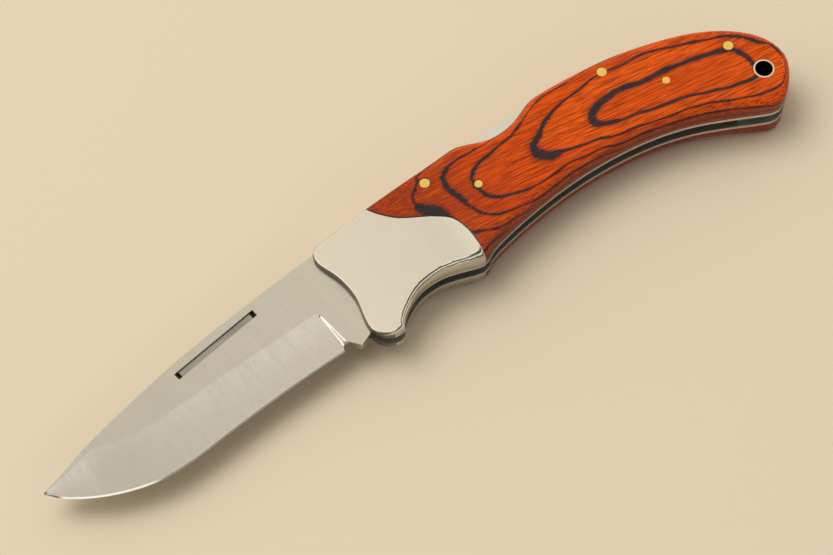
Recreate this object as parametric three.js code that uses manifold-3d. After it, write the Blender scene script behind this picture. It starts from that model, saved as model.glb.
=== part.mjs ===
import * as THREE from 'three';
import { mergeVertices } from 'three/addons/utils/BufferGeometryUtils.js';
import Module from 'manifold-3d';

// Folding pocket knife with a lock bar along its back, lying open on its rear face.
// Millimetres. +X runs from the tip to the butt, +Y to the back of the knife and +Z to its front face.
// The pieces are drawn from the blade pivot, and the origin is then put under the wood on the rear face.

const wasm = await Module();
wasm.setup();

// Layers across the knife, the same on both sides of the blade
const sideThickness = 4.5;
const linerThickness = 0.9;
const slotWidth = 3.2;
const washerThickness = 0.2;

// Lengths from the pivot
const bladeReach = 90;
const handleReach = 107.9;
const bolsterReach = 20.6;
const ricassoReach = 18;
const restPlace = 50;

// Pins and their holes
const pivotPinRadius = 2;
const pivotPocketDepth = 1.4;
const throughPinRadius = 1.25;
const scaleRivetRadius = 1;
const bolsterRivetRadius = 0.8;
const bolsterRivetDepth = 0.8;
const tubeRadius = 2.5;
const tubeWall = 0.4;
const washerRadius = 5;
const pinClearance = 0.05;

// The handle thins towards the blade on both faces, ahead of this place along it
const taperStart = 17.5;
const taperSlope = 0.13;

// Outer edges of the handle: how far each is rounded inwards, and how far down the side
const bolsterRound = 1.3;
const bolsterFrontRound = 0.35;
const bolsterRoundDepth = 3;
const bellyRound = 3.2;
const spineRound = 2.2;
const cornerRound = 1.6;
const cornerSpread = 7;
const jointGap = 0.05;
const tubeFillet = 0.15;

// Blade
const edgeHalf = 0.04;
const shoulderHalf = 0.25;
const edgeBevel = 0.6;
const hollowDepth = 0.1;
const tipHalf = 0.2;
const tipHeight = 0.3;
const tipRise = 0.7;
const plungeTopReach = 17.3;
const plungeSlant = 0.118;
const plungeLength = 1.6;
const nickLength = 23;
const nickWidth = 1.5;
const nickDepth = 0.8;
const nickTilt = THREE.MathUtils.degToRad(7);
const tangRadius = 7.9;
const closedAngle = THREE.MathUtils.degToRad(172);

// Lock bar, spring and spacer
const lockTravel = THREE.MathUtils.degToRad(3);
const toothWidth = 4.2;
const toothFront = -1.8;
const toothLift = 0.2;
const lockClearance = 0.15;
const bossRadius = 2.4;
const springThickness = 0.8;
const springClearance = 0.1;
const bladeRoom = 1.8;
const spacerRecess = 1.3;
const spacerGap = 0.5;
const spacerStopDrop = 16.5;

// Steps along the curves and round the pins
const curveStep = 2;
const fineStep = 1.5;
const roundSteps = 4;
const pinSides = 24;
const rivetSides = 12;

const slotFloor = sideThickness + linerThickness;
const slotCeiling = slotFloor + slotWidth;
const frontLinerTop = slotCeiling + linerThickness;
const frontFace = frontLinerTop + sideThickness;
const bladeFloor = slotFloor + washerThickness;
const bladeCeiling = slotCeiling - washerThickness;
const bladeHalf = (bladeCeiling - bladeFloor) / 2;
const midPlane = frontFace / 2;
const overCut = 1;
const farOut = 30;

// A place along the handle behind the bolster, from 0 at the bolster to 1 at the butt
function back(share) {
  return bolsterReach + (handleReach - bolsterReach) * share;
}

// A place along the blade, from 0 at the ricasso to 1 at the tip
function ahead(share) {
  return -ricassoReach - (bladeReach - ricassoReach) * share;
}

// Centres of the pins, seen from the front
const pivot = new THREE.Vector2(0, 0);
const lockPinPlace = new THREE.Vector2(19.6, 10.5);
const spacerPinMidPlace = new THREE.Vector2(back(0.565), 9.6);
const spacerPinButtPlace = new THREE.Vector2(back(0.887), -2.4);
const tubePlace = new THREE.Vector2(back(0.918), -12.2);
const scaleRivetPlaces = {
  forward: new THREE.Vector2(back(0.1), 2.95),
  rear: new THREE.Vector2(back(0.687), -1.1),
};
const bolsterRivetPlaces = {
  spine: new THREE.Vector2(-4, 9),
  edge: new THREE.Vector2(12.5, -6.5),
};

// Outline of the handle, anticlockwise from the top of the bolster's front edge
const bolsterFront = [
  [-9.3, 13.55], [-10.6, 12.4], [-10.9, 10.3], [-10.3, 7.7], [-9.3, 4.6], [-8.8, 1],
  [-8.9, -2.6], [-9.8, -6.2], [-10.4, -9.3], [-10.2, -11.6], [-9.2, -13.5],
];
const bolsterBeak = [[-9.2, -13.5], [-7.8, -14.6], [-6.2, -15.2], [-4.2, -15]];
const bolsterBelly = [
  [-4.2, -15], [-3.3, -13.6], [-1.6, -12.2], [0.9, -10.8], [3.8, -9.7], [6.6, -9.4],
  [9.4, -9.5], [12.4, -10.2], [15, -11.1], [taperStart, -12.05],
];
const woodEdge = [
  [taperStart, -12.05], [19, -12.5], [bolsterReach, -12.5], [back(0.03), -11.1], [back(0.1), -9.7],
  [back(0.2), -8.5],
  [back(0.33), -7.8], [back(0.46), -8.3], [back(0.58), -10], [back(0.68), -12.7],
  [back(0.78), -16.8], [back(0.85), -20], [back(0.885), -21.2], [back(0.915), -20.6],
  [back(0.95), -18.2], [back(0.982), -15], [back(0.998), -12.2], [back(1), -9.2],
  [back(0.988), -5.4], [back(0.955), -1.2], [back(0.9), 3], [back(0.83), 6.45],
  [back(0.74), 9.4], [back(0.62), 12.2], [back(0.5), 13.65], [back(0.4), 14.25],
  [back(0.36), 14.15], [back(0.326), 13.1], [back(0.29), 11.9], [back(0.25), 11.35],
  [back(0.205), 11.6], [back(0.165), 12.9], [back(0.13), 14.2], [back(0.1), 14.6],
  [back(0.06), 14.4], [taperStart, 14.15],
];
const handleFrontSpine = [[taperStart, 14.15], [5, 14.1], [-9.3, 13.55]];
const buttCorner = new THREE.Vector2(back(0.885), -21.2);

// Joint between bolster and wood, from the belly to the back
const jointLine = [
  [20.9, -15], [20.2, -12], [20.6, -8.7], [20.6, -4.5], [19.5, -0.6], [16.8, 2.1],
  [13.4, 4.5], [10.2, 6.8], [7.8, 9.5], [5.8, 12.6], [4.5, 15.5],
];

// Blade outline: back, edge and the line where the flat meets the bevel
const bladeSpine = [
  [0, 13.4], [-8, 13.15], [ahead(0.03), 12.35], [ahead(0.22), 11.2], [ahead(0.42), 9.65],
  [ahead(0.61), 7.35], [ahead(0.78), 4.85], [ahead(0.92), 2.2], [-bladeReach, tipRise + tipHeight / 2],
];
const bladeEdge = [
  [-12, -10.6], [ahead(0), -10.55], [ahead(0.15), -10.6], [ahead(0.3), -10.95],
  [ahead(0.45), -11.6], [ahead(0.58), -12.25], [ahead(0.68), -11.9], [ahead(0.78), -10],
  [ahead(0.88), -6.7], [ahead(0.96), -2.7], [-bladeReach, tipRise - tipHeight / 2],
];
const bladeGrind = [
  [-12, 0.7], [ahead(0.15), 0.6], [ahead(0.45), 0.45], [ahead(0.6), 0.1],
  [ahead(0.7), 0.95], [ahead(0.78), 2.6], [ahead(0.84), 3.9],
];
const grindEnd = ahead(0.84);

// Choil, kick and lower edge of the tang
const choilNotch = [
  [-17.6, -14], [-17.6, -9.9], [-17.2, -9.3], [-16.5, -9.15], [-15.7, -9.7], [-14, -11.9], [-14, -14],
];
const kick = [[-15.7, -9.7], [-14, -11.9], [-12.5, -11.4], [-10.5, -10.6], [-6.5, -9.2], [-3.4, -8.1]];

// Lock bar, drawn with its tail pressed down to free the blade
const lockBarTop = [
  [back(0.36), 14.2], [back(0.34), 15], [back(0.25), 15.1], [back(0.14), 15.1],
  [back(0.05), 14.6], [12, 13.95], [4, 13.7], [toothFront, 13.45],
];
const lockBarNeck = [[3, 9.2], [10, 9.7], [15.5, 10.2], [17.4, 10.1]];
const lockBarTail = [
  [22, 10.3], [22.6, 9.3], [back(0.1), 9.1], [back(0.2), 8.9], [back(0.35), 8.9], [back(0.36), 9.6],
];

// Middle line of the lock spring, from its free tip under the bar to its root
const springLine = [[back(0.14), 8.3], [back(0.24), 7.7], [back(0.35), 7.5], [back(0.45), 7.7]];

function toVector([x, y]) {
  return new THREE.Vector2(x, y);
}

// Points at an even spacing on one smooth curve through the given points
function smoothLine(points, step = curveStep) {
  const stops = points.map(([x, y]) => new THREE.Vector3(x, y, 0));
  const curve = new THREE.CatmullRomCurve3(stops, false, 'centripetal');
  const pieces = Math.max(2, Math.round(curve.getLength() / step));
  return curve.getSpacedPoints(pieces).map((p) => new THREE.Vector2(p.x, p.y));
}

// Lines joined end to end, without the points that two of them share
function joined(...lines) {
  return lines.flat().filter((p, i, all) => i === 0 || p.distanceTo(all[i - 1]) > 0.01);
}

function turned(points, angle, centre = pivot) {
  return points.map((p) => p.clone().rotateAround(centre, angle));
}

function arc(centre, radius, start, end, step = fineStep) {
  const pieces = Math.max(4, Math.ceil((Math.abs(end - start) * radius) / step));
  return Array.from({ length: pieces + 1 }, (_, i) => {
    const angle = start + ((end - start) * i) / pieces;
    return new THREE.Vector2(Math.cos(angle), Math.sin(angle)).multiplyScalar(radius).add(centre);
  });
}

// Height of a line at a place along X
function heightAt(line, x) {
  const ordered = line[0].x < line.at(-1).x ? line : [...line].reverse();
  if (x <= ordered[0].x) return ordered[0].y;
  const next = ordered.findIndex((p) => p.x >= x);
  if (next < 0) return ordered.at(-1).y;
  const [a, b] = [ordered[next - 1], ordered[next]];
  return THREE.MathUtils.mapLinear(x, a.x, b.x, a.y, b.y);
}

// Each point moved to the left of the way the line runs, by its own distance
function shifted(line, distances, closed) {
  const count = line.length;
  return line.map((point, i) => {
    const before = line[closed ? (i + count - 1) % count : Math.max(i - 1, 0)];
    const after = line[closed ? (i + 1) % count : Math.min(i + 1, count - 1)];
    const arriving = point.clone().sub(before).normalize();
    const leaving = after.clone().sub(point).normalize();
    const way = arriving.clone().add(leaving).normalize();
    const left = new THREE.Vector2(-way.y, way.x);
    const steepness = Math.max(0.6, way.dot(leaving.lengthSq() > 0 ? leaving : arriving));
    return point.clone().addScaledVector(left, distances[i] / steepness);
  });
}

function toSolid(geometry) {
  const bare = geometry.clone();
  bare.deleteAttribute('normal');
  bare.deleteAttribute('uv');
  const merged = mergeVertices(bare, 1e-4);
  const vertProperties = new Float32Array(merged.attributes.position.array);
  const triVerts = new Uint32Array(merged.index.array);
  return new wasm.Manifold(new wasm.Mesh({ numProp: 3, vertProperties, triVerts }));
}

function toGeometry(solid) {
  const { vertProperties, triVerts } = solid.getMesh();
  const geometry = new THREE.BufferGeometry();
  geometry.setAttribute('position', new THREE.BufferAttribute(vertProperties, 3));
  geometry.setIndex(new THREE.BufferAttribute(triVerts, 1));
  return geometry;
}

// The same piece on the other side of the blade
function mirrored(geometry) {
  const copy = geometry.clone();
  const { position } = copy.attributes;
  for (let i = 0; i < position.count; i += 1) position.setZ(i, frontFace - position.getZ(i));
  const corners = copy.index.array;
  for (let i = 0; i < corners.length; i += 3) {
    [corners[i + 1], corners[i + 2]] = [corners[i + 2], corners[i + 1]];
  }
  return copy;
}

// A flat-sided solid of the given outline, between two heights
function prism(outline, floor, ceiling) {
  const depth = ceiling - floor;
  const geometry = new THREE.ExtrudeGeometry(new THREE.Shape(outline), { depth, bevelEnabled: false });
  return toSolid(geometry.translate(0, 0, floor));
}

function round(centre, radius, floor, ceiling, sides = pinSides) {
  const geometry = new THREE.CylinderGeometry(radius, radius, ceiling - floor, sides);
  geometry.rotateX(Math.PI / 2);
  return toSolid(geometry.translate(centre.x, centre.y, (floor + ceiling) / 2));
}

function drilled(solid, centre, radius, sides = pinSides) {
  return solid.subtract(round(centre, radius + pinClearance, -overCut, frontFace + overCut, sides));
}

function closedRings(rings) {
  const sides = rings[0].length;
  const positions = rings.flat().flatMap((p) => [p.x, p.y, p.z]);
  const corners = [];
  for (let ring = 0; ring + 1 < rings.length; ring += 1) {
    for (let i = 0; i < sides; i += 1) {
      const a = ring * sides + i;
      const b = ring * sides + ((i + 1) % sides);
      corners.push(a, b, b + sides, a, b + sides, a + sides);
    }
  }
  return { positions, corners };
}

function ringGeometry({ positions, corners }) {
  const geometry = new THREE.BufferGeometry();
  geometry.setAttribute('position', new THREE.Float32BufferAttribute(positions, 3));
  geometry.setIndex(corners);
  return geometry;
}

function handleOutline() {
  return joined(
    smoothLine(bolsterFront, fineStep),
    smoothLine(bolsterBeak, fineStep),
    smoothLine(bolsterBelly, fineStep),
    smoothLine(woodEdge),
    handleFrontSpine.map(toVector),
  ).slice(0, -1);
}

// Height of the outer face at a place along the handle
function faceHeight(x) {
  return frontFace - taperSlope * Math.max(0, taperStart - x);
}

// Rounding of the outer edge at one point of the outline: inwards and down the side
function edgeRounding(p) {
  if (p.y < 0 && p.x <= bolsterReach) {
    const inward = p.x < bolsterBeak[1][0] ? bolsterFrontRound : bolsterRound;
    return [inward, bolsterRoundDepth];
  }
  if (p.x < taperStart) return [bolsterFrontRound, bolsterRoundDepth];
  if (p.distanceTo(buttCorner) < cornerSpread) return [cornerRound, cornerRound];
  const radius = p.y < 0 && p.x < buttCorner.x ? bellyRound : spineRound;
  return [radius, radius];
}

// The rounding all round the handle, eased from one stretch to the next
function easedRounding(outline) {
  const plain = outline.map(edgeRounding);
  const reach = 2;
  const around = Array.from({ length: 2 * reach + 1 }, (_, k) => k - reach);
  const mean = (i, part) => {
    const near = around.map((k) => plain[(i + k + plain.length) % plain.length][part]);
    return near.reduce((sum, value) => sum + value, 0) / around.length;
  };
  return plain.map((_, i) => ({ inward: mean(i, 0), down: mean(i, 1) }));
}

// Triangles over a ring of points, as two faces that meet where the handle starts to thin
function creasedCap(ring) {
  const indices = ring.map((_, i) => i);
  const [first, second] = indices.filter((i) => ring[i].x === taperStart);
  const behind = indices.slice(first, second + 1);
  const inFront = [...indices.slice(second), ...indices.slice(0, first + 1)];
  return [behind, inFront].flatMap((part) => {
    const contour = part.map((i) => new THREE.Vector2(ring[i].x, ring[i].y));
    return THREE.ShapeUtils.triangulateShape(contour, []).map((face) => face.map((i) => part[i]));
  });
}

// Front side of the handle in one piece, flat inside and with a rounded outer edge
function sideBlank(outline) {
  const rounding = easedRounding(outline);
  const creaseEnds = outline.map((p) => Math.abs(p.x - taperStart) < 0.01);
  const rings = [];
  for (let k = -1; k <= roundSteps; k += 1) {
    const angle = ((Math.PI / 2) * Math.max(k, 0)) / roundSteps;
    const insets = rounding.map(({ inward }) => inward * (1 - Math.cos(angle)));
    const ring = shifted(outline, insets, true).map((p, i) => {
      const x = creaseEnds[i] ? taperStart : p.x;
      const share = k < 0 ? 0 : 1 - (rounding[i].down * (1 - Math.sin(angle))) / sideThickness;
      return new THREE.Vector3(x, p.y, THREE.MathUtils.lerp(frontLinerTop, faceHeight(x), share));
    });
    rings.push(ring);
  }
  const { positions, corners } = closedRings(rings);
  const lastStart = (rings.length - 1) * outline.length;
  creasedCap(rings[0]).forEach(([a, b, c]) => corners.push(a, c, b));
  creasedCap(rings.at(-1)).forEach((face) => corners.push(...face.map((i) => i + lastStart)));
  return toSolid(ringGeometry({ positions, corners }));
}

// Everything ahead of the joint line, for cutting bolster from wood
function aheadOfJoint(gap) {
  const line = smoothLine(jointLine, fineStep).map((p) => p.addScalar(gap));
  const [start, end] = [line[0], line.at(-1)];
  const beyond = [[end.x, farOut], [-farOut, farOut], [-farOut, -farOut], [start.x, -farOut]];
  return prism([...line, ...beyond.map(toVector)], -overCut, frontFace + overCut);
}

const outline = handleOutline();
const blank = sideBlank(outline);
const handleBody = blank
  .add(toSolid(mirrored(toGeometry(blank))))
  .add(prism(outline, sideThickness, frontLinerTop));

function makeBolster() {
  const pocketFloor = frontLinerTop - overCut;
  const pocket = round(pivot, pivotPinRadius + pinClearance, pocketFloor, frontLinerTop + pivotPocketDepth);
  let bolster = blank.intersect(aheadOfJoint(0)).subtract(pocket);
  const holeRadius = bolsterRivetRadius + pinClearance;
  const holeCeiling = frontLinerTop + bolsterRivetDepth;
  for (const place of Object.values(bolsterRivetPlaces)) {
    bolster = bolster.subtract(round(place, holeRadius, pocketFloor, holeCeiling, rivetSides));
  }
  return toGeometry(bolster);
}

const throughPins = {
  lock_bar_pin: lockPinPlace,
  spacer_pin_mid: spacerPinMidPlace,
  spacer_pin_butt: spacerPinButtPlace,
};

function makeScale() {
  let scale = blank.subtract(aheadOfJoint(jointGap));
  for (const place of Object.values(throughPins)) scale = drilled(scale, place, throughPinRadius);
  for (const place of Object.values(scaleRivetPlaces)) scale = drilled(scale, place, scaleRivetRadius);
  return toGeometry(drilled(scale, tubePlace, tubeRadius));
}

function makeLiner() {
  let liner = prism(outline, slotCeiling, frontLinerTop);
  for (const place of Object.values(throughPins)) liner = drilled(liner, place, throughPinRadius);
  for (const place of Object.values(scaleRivetPlaces)) liner = drilled(liner, place, scaleRivetRadius);
  for (const place of Object.values(bolsterRivetPlaces)) {
    liner = drilled(liner, place, bolsterRivetRadius, rivetSides);
  }
  liner = drilled(liner, pivot, pivotPinRadius);
  return toGeometry(drilled(liner, tubePlace, tubeRadius));
}

const spineCurve = smoothLine(bladeSpine);
const edgeCurve = smoothLine(bladeEdge);
const grindCurve = smoothLine(bladeGrind);

// Half the blade's thickness where the flat ends, thinning to the tip past the end of the grind line
function flatHalf(x) {
  if (x > grindEnd) return bladeHalf;
  return THREE.MathUtils.mapLinear(x, grindEnd, -bladeReach, bladeHalf, tipHalf);
}

// How much of the bevel is ground at a place: 0 on the ricasso, 1 past the plunge
function groundShare(x, y) {
  const plungeStart = -plungeTopReach - y * plungeSlant;
  return THREE.MathUtils.smoothstep(plungeStart - x, 0, plungeLength);
}

// Heights and half thicknesses down one side of the blade, from its back to its edge
function bladeRows(x) {
  const top = heightAt(spineCurve, x);
  const bottom = heightAt(edgeCurve, x);
  const height = top - bottom;
  const grind = Math.min(heightAt(grindCurve, x), top - height * 0.1);
  const shoulder = bottom + Math.min(edgeBevel, height * 0.2);
  const full = flatHalf(x);
  const thin = Math.min(shoulderHalf, full * 0.6);
  const bevel = [0.75, 0.5, 0.25].map((u) => {
    const hollow = hollowDepth * 4 * u * (1 - u) * (full / bladeHalf);
    return [shoulder + (grind - shoulder) * u, thin + (full - thin) * u - hollow];
  });
  const rows = [[top, full], [grind, full], ...bevel, [shoulder, thin], [bottom, edgeHalf]];
  return rows.map(([y, half]) => [y, THREE.MathUtils.lerp(full, half, groundShare(x, y))]);
}

function bladeStations() {
  const stations = [-bladeReach];
  const steps = [[ahead(0.84), 1.2], [ahead(0.03), 3], [ahead(-0.03), 0.4]];
  for (const [end, step] of steps) {
    const start = stations.at(-1);
    const pieces = Math.round((end - start) / step);
    for (let i = 1; i <= pieces; i += 1) stations.push(start + ((end - start) * i) / pieces);
  }
  return [...stations, -14.5];
}

// The blade ahead of the tang, as sections joined from the tip to the ricasso
function groundBlade() {
  const rings = bladeStations().map((x) => {
    const rows = bladeRows(x);
    const front = rows.map(([y, half]) => new THREE.Vector3(x, y, midPlane + half));
    const rear = rows.map(([y, half]) => new THREE.Vector3(x, y, midPlane - half)).reverse();
    return [...front, ...rear];
  });
  const { positions, corners } = closedRings(rings);
  const sides = rings[0].length;
  const lastStart = (rings.length - 1) * sides;
  for (let i = 0; i + 1 < sides / 2; i += 1) {
    const across = sides - 1 - i;
    corners.push(i, across, i + 1, i + 1, across, across - 1);
    corners.push(lastStart + i, lastStart + i + 1, lastStart + across);
    corners.push(lastStart + i + 1, lastStart + across - 1, lastStart + across);
  }
  return toSolid(ringGeometry({ positions, corners }));
}

// Outline of the front end of the lock bar, with its tooth, in the freed position
function lockBarFront(clearance) {
  const toothFloor = tangRadius + toothLift - clearance;
  const left = toothFront - clearance;
  const right = toothFront + toothWidth + clearance;
  return [[left, 20], [left, toothFloor], [right, toothFloor], [right + 1.5, 20]].map(toVector);
}

// The flat on the tang that the tooth comes down on when the knife is closed
function closedFlat() {
  const locked = turned(lockBarFront(lockClearance), lockTravel, lockPinPlace);
  const [left, right] = [locked[1], locked[2]];
  const middle = left.clone().lerp(right, 0.5);
  const along = right.clone().sub(left).setLength(toothWidth);
  const outwards = new THREE.Vector2(-along.y, along.x);
  const ends = [middle.clone().sub(along), middle.clone().add(along)];
  const corners = [ends[0], ends[1], ends[1].clone().add(outwards), ends[0].clone().add(outwards)];
  return prism(turned(corners, -closedAngle), bladeFloor - overCut, bladeCeiling + overCut);
}

// Nail nick: a steep wall towards the back of the blade and a floor that rises to the flat
function nailNick() {
  const over = 0.3;
  const rise = nickWidth / nickDepth;
  const section = new THREE.Shape([
    [nickWidth / 2, -nickDepth], [nickWidth / 2, over], [-nickWidth / 2 - over * rise, over],
  ].map(toVector));
  const along = new THREE.Vector3(Math.cos(nickTilt), Math.sin(nickTilt), 0);
  const up = new THREE.Vector3(0, 0, 1);
  const across = new THREE.Vector3().crossVectors(up, along);
  const middle = new THREE.Vector3(ahead(0.31), 7.6, bladeCeiling);
  const start = middle.addScaledVector(along, -nickLength / 2);
  const place = new THREE.Matrix4().makeBasis(across, up, along).setPosition(start);
  const geometry = new THREE.ExtrudeGeometry(section, { depth: nickLength, bevelEnabled: false });
  return toSolid(geometry.applyMatrix4(place));
}

function makeBlade() {
  const rear = arc(pivot, tangRadius, -Math.PI * 0.36, Math.PI / 2);
  const front = kick[0][0];
  const tangBack = spineCurve.filter((p) => p.x > front);
  const tangFront = new THREE.Vector2(front, heightAt(spineCurve, front));
  const tang = [...kick.map(toVector), ...rear, ...tangBack, tangFront];
  const through = [bladeFloor - overCut, bladeCeiling + overCut];
  const blade = groundBlade()
    .add(prism(tang, bladeFloor, bladeCeiling))
    .subtract(prism(choilNotch.map(toVector), ...through))
    .subtract(prism(lockBarFront(lockClearance), ...through))
    .subtract(prism(turned(lockBarFront(lockClearance), lockTravel, lockPinPlace), ...through))
    .subtract(closedFlat())
    .subtract(nailNick());
  return toGeometry(drilled(blade, pivot, pivotPinRadius));
}

function makeLockBar() {
  const toothFloor = tangRadius + toothLift;
  const tooth = [[toothFront, toothFloor], [toothFront + toothWidth, toothFloor]].map(toVector);
  const boss = arc(lockPinPlace, bossRadius, Math.PI * 1.08, Math.PI * 1.95);
  const underside = [...tooth, ...smoothLine(lockBarNeck), ...boss, ...lockBarTail.map(toVector)];
  const bar = prism(joined(underside, smoothLine(lockBarTop)).slice(0, -1), bladeFloor, bladeCeiling);
  const front = new THREE.Vector2(toothFront, lockBarTop.at(-1)[1]);
  const nose = prism([front, tooth[0], tooth[1], new THREE.Vector2(4, 13.4)], bladeFloor, bladeCeiling);
  return toGeometry(drilled(bar.add(nose), lockPinPlace, throughPinRadius));
}

function springOutline(clearance) {
  const line = smoothLine(springLine);
  const reach = springThickness / 2 + clearance;
  const above = shifted(line, line.map(() => reach), false);
  const below = shifted(line, line.map(() => -reach), false);
  return [...below, ...above.reverse()];
}

function makeLockSpring() {
  return toGeometry(prism(springOutline(0), bladeFloor, bladeCeiling));
}

// Inner edge of the spacer: clear of the closed blade's edge, then struck from the pivot past its tip
function spacerInnerEdge() {
  const edge = turned(edgeCurve, closedAngle).filter((p) => p.x > lockBarTail.at(-1)[0]);
  const clear = shifted(edge, edge.map(() => bladeRoom), false);
  const reach = bladeReach + bladeRoom;
  const beforeTip = clear.filter((p) => p.length() < reach);
  const end = -Math.asin(spacerStopDrop / reach);
  return [...beforeTip, ...arc(pivot, reach, beforeTip.at(-1).angle() - 2 * Math.PI, end)];
}

function makeBackSpacer() {
  const start = lockBarTail.at(-1)[0] + spacerGap;
  const inner = spacerInnerEdge().filter((p) => p.x > start + 1);
  const belly = smoothLine(woodEdge).filter((p) => p.x > back(0.83) && p.y < -19);
  const groove = shifted(belly, belly.map(() => spacerRecess), false);
  const region = [
    new THREE.Vector2(start, 20),
    new THREE.Vector2(start, inner[0].y),
    ...inner,
    ...groove,
    new THREE.Vector2(groove.at(-1).x + spacerRecess, -30),
    new THREE.Vector2(handleReach + overCut, -30),
    new THREE.Vector2(handleReach + overCut, 20),
  ];
  const layers = [slotFloor - overCut, slotCeiling + overCut];
  let spacer = prism(outline, slotFloor, slotCeiling).intersect(prism(region, ...layers));
  spacer = spacer.subtract(prism(springOutline(springClearance), ...layers));
  spacer = drilled(spacer, spacerPinMidPlace, throughPinRadius);
  spacer = drilled(spacer, spacerPinButtPlace, throughPinRadius);
  return toGeometry(drilled(spacer, tubePlace, tubeRadius));
}

function makePivotPin() {
  const floor = sideThickness - pivotPocketDepth;
  return toGeometry(round(pivot, pivotPinRadius, floor, frontFace - floor));
}

// A pin through the whole handle, with its ends dressed flush with the wood
function makeThroughPin(place) {
  return toGeometry(round(place, throughPinRadius, 0, frontFace).intersect(handleBody));
}

function makeScaleRivet(place) {
  return toGeometry(round(place, scaleRivetRadius, slotCeiling, frontFace).intersect(handleBody));
}

function makeBolsterRivet(place) {
  const ceiling = frontLinerTop + bolsterRivetDepth;
  return toGeometry(round(place, bolsterRivetRadius, slotCeiling, ceiling, rivetSides));
}

function makeWasher() {
  const bore = pivotPinRadius + pinClearance;
  const profile = [
    [bore, 0], [washerRadius, 0], [washerRadius, washerThickness], [bore, washerThickness], [bore, 0],
  ].map(toVector);
  const geometry = new THREE.LatheGeometry(profile, pinSides);
  geometry.rotateX(Math.PI / 2);
  return toGeometry(toSolid(geometry.translate(0, 0, bladeCeiling)));
}

function makeLanyardTube() {
  const bore = tubeRadius - tubeWall;
  const profile = [
    [bore + tubeFillet, 0], [tubeRadius, 0], [tubeRadius, frontFace], [bore + tubeFillet, frontFace],
    [bore, frontFace - tubeFillet], [bore, tubeFillet], [bore + tubeFillet, 0],
  ].map(toVector);
  const geometry = new THREE.LatheGeometry(profile, pinSides);
  geometry.rotateX(Math.PI / 2);
  return toGeometry(toSolid(geometry.translate(tubePlace.x, tubePlace.y, 0)));
}

function finish(color, roughness, metalness) {
  return new THREE.MeshStandardMaterial({ color, roughness, metalness });
}

const satinSteel = () => finish(0xc9c6bf, 0.3, 1);
const polishedSteel = () => finish(0xd8d3c4, 0.15, 1);
const linerSteel = () => finish(0xb9b4a8, 0.3, 1);
const darkSteel = () => finish(0x3c4143, 0.45, 1);
const redWood = () => finish(0xb93a12, 0.35, 0);
const brass = () => finish(0xe3bd48, 0.25, 1);

const knife = new THREE.Group();

function addPiece(name, geometry, material) {
  const mesh = new THREE.Mesh(geometry, material);
  mesh.name = name;
  knife.add(mesh);
}

// One piece on each side of the blade, made once and mirrored
function addPair(name, geometry, makeMaterial) {
  addPiece(`front_${name}`, geometry, makeMaterial());
  addPiece(`rear_${name}`, mirrored(geometry), makeMaterial());
}

addPiece('blade', makeBlade(), satinSteel());
addPiece('lock_bar', makeLockBar(), polishedSteel());
addPiece('lock_spring', makeLockSpring(), darkSteel());
addPiece('back_spacer', makeBackSpacer(), darkSteel());
addPiece('blade_pivot_pin', makePivotPin(), polishedSteel());
addPiece('lanyard_tube', makeLanyardTube(), brass());
for (const [name, place] of Object.entries(throughPins)) addPiece(name, makeThroughPin(place), brass());
addPair('liner', makeLiner(), linerSteel);
addPair('bolster', makeBolster(), polishedSteel);
addPair('scale', makeScale(), redWood);
addPair('pivot_washer', makeWasher(), brass);
for (const [name, place] of Object.entries(scaleRivetPlaces)) {
  addPair(`scale_rivet_${name}`, makeScaleRivet(place), brass);
}
for (const [name, place] of Object.entries(bolsterRivetPlaces)) {
  addPair(`bolster_rivet_${name}`, makeBolsterRivet(place), polishedSteel);
}

knife.position.x = -restPlace;

export default knife;
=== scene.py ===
"""Folding pocket knife with a lock bar, lying open on its rear face.

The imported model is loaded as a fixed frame. Each visible piece is then modelled with Blender's own
operators, either from a primitive or from a merged copy of the frame's node, and rides on its body.
Lengths are written in millimetres and placed from the blade pivot: +X runs to the butt, +Y to the
back of the knife and +Z to its front face. The frame's own origin lies under the wood.
"""

from __future__ import annotations

import logging
import math
from contextlib import contextmanager
from dataclasses import dataclass
from enum import Enum
from functools import cache
from typing import Callable, Iterator, Sequence

import bmesh
import bpy
import numpy as np
from bmesh.types import BMEdge, BMFace
from bpy.types import Material, MeshPolygon, Node, NodeOutputs, NodeSocket, NodeTree, Object
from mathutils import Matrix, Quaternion, Vector

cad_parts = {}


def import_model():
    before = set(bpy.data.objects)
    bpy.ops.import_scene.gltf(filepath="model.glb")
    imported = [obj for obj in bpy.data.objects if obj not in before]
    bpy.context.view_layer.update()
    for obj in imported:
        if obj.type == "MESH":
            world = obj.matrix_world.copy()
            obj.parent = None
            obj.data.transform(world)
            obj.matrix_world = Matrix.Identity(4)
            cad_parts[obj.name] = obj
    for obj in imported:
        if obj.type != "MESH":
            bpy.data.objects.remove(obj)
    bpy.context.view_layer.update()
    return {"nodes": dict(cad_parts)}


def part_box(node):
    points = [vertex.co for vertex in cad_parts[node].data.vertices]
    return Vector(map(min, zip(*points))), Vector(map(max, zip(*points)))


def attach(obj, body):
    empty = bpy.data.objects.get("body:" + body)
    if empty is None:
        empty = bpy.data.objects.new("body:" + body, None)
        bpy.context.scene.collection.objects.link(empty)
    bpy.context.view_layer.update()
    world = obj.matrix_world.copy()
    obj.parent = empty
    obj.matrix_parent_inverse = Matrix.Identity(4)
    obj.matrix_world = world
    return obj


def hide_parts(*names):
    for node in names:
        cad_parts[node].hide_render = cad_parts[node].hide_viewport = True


log = logging.getLogger("pocket_knife")

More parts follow.
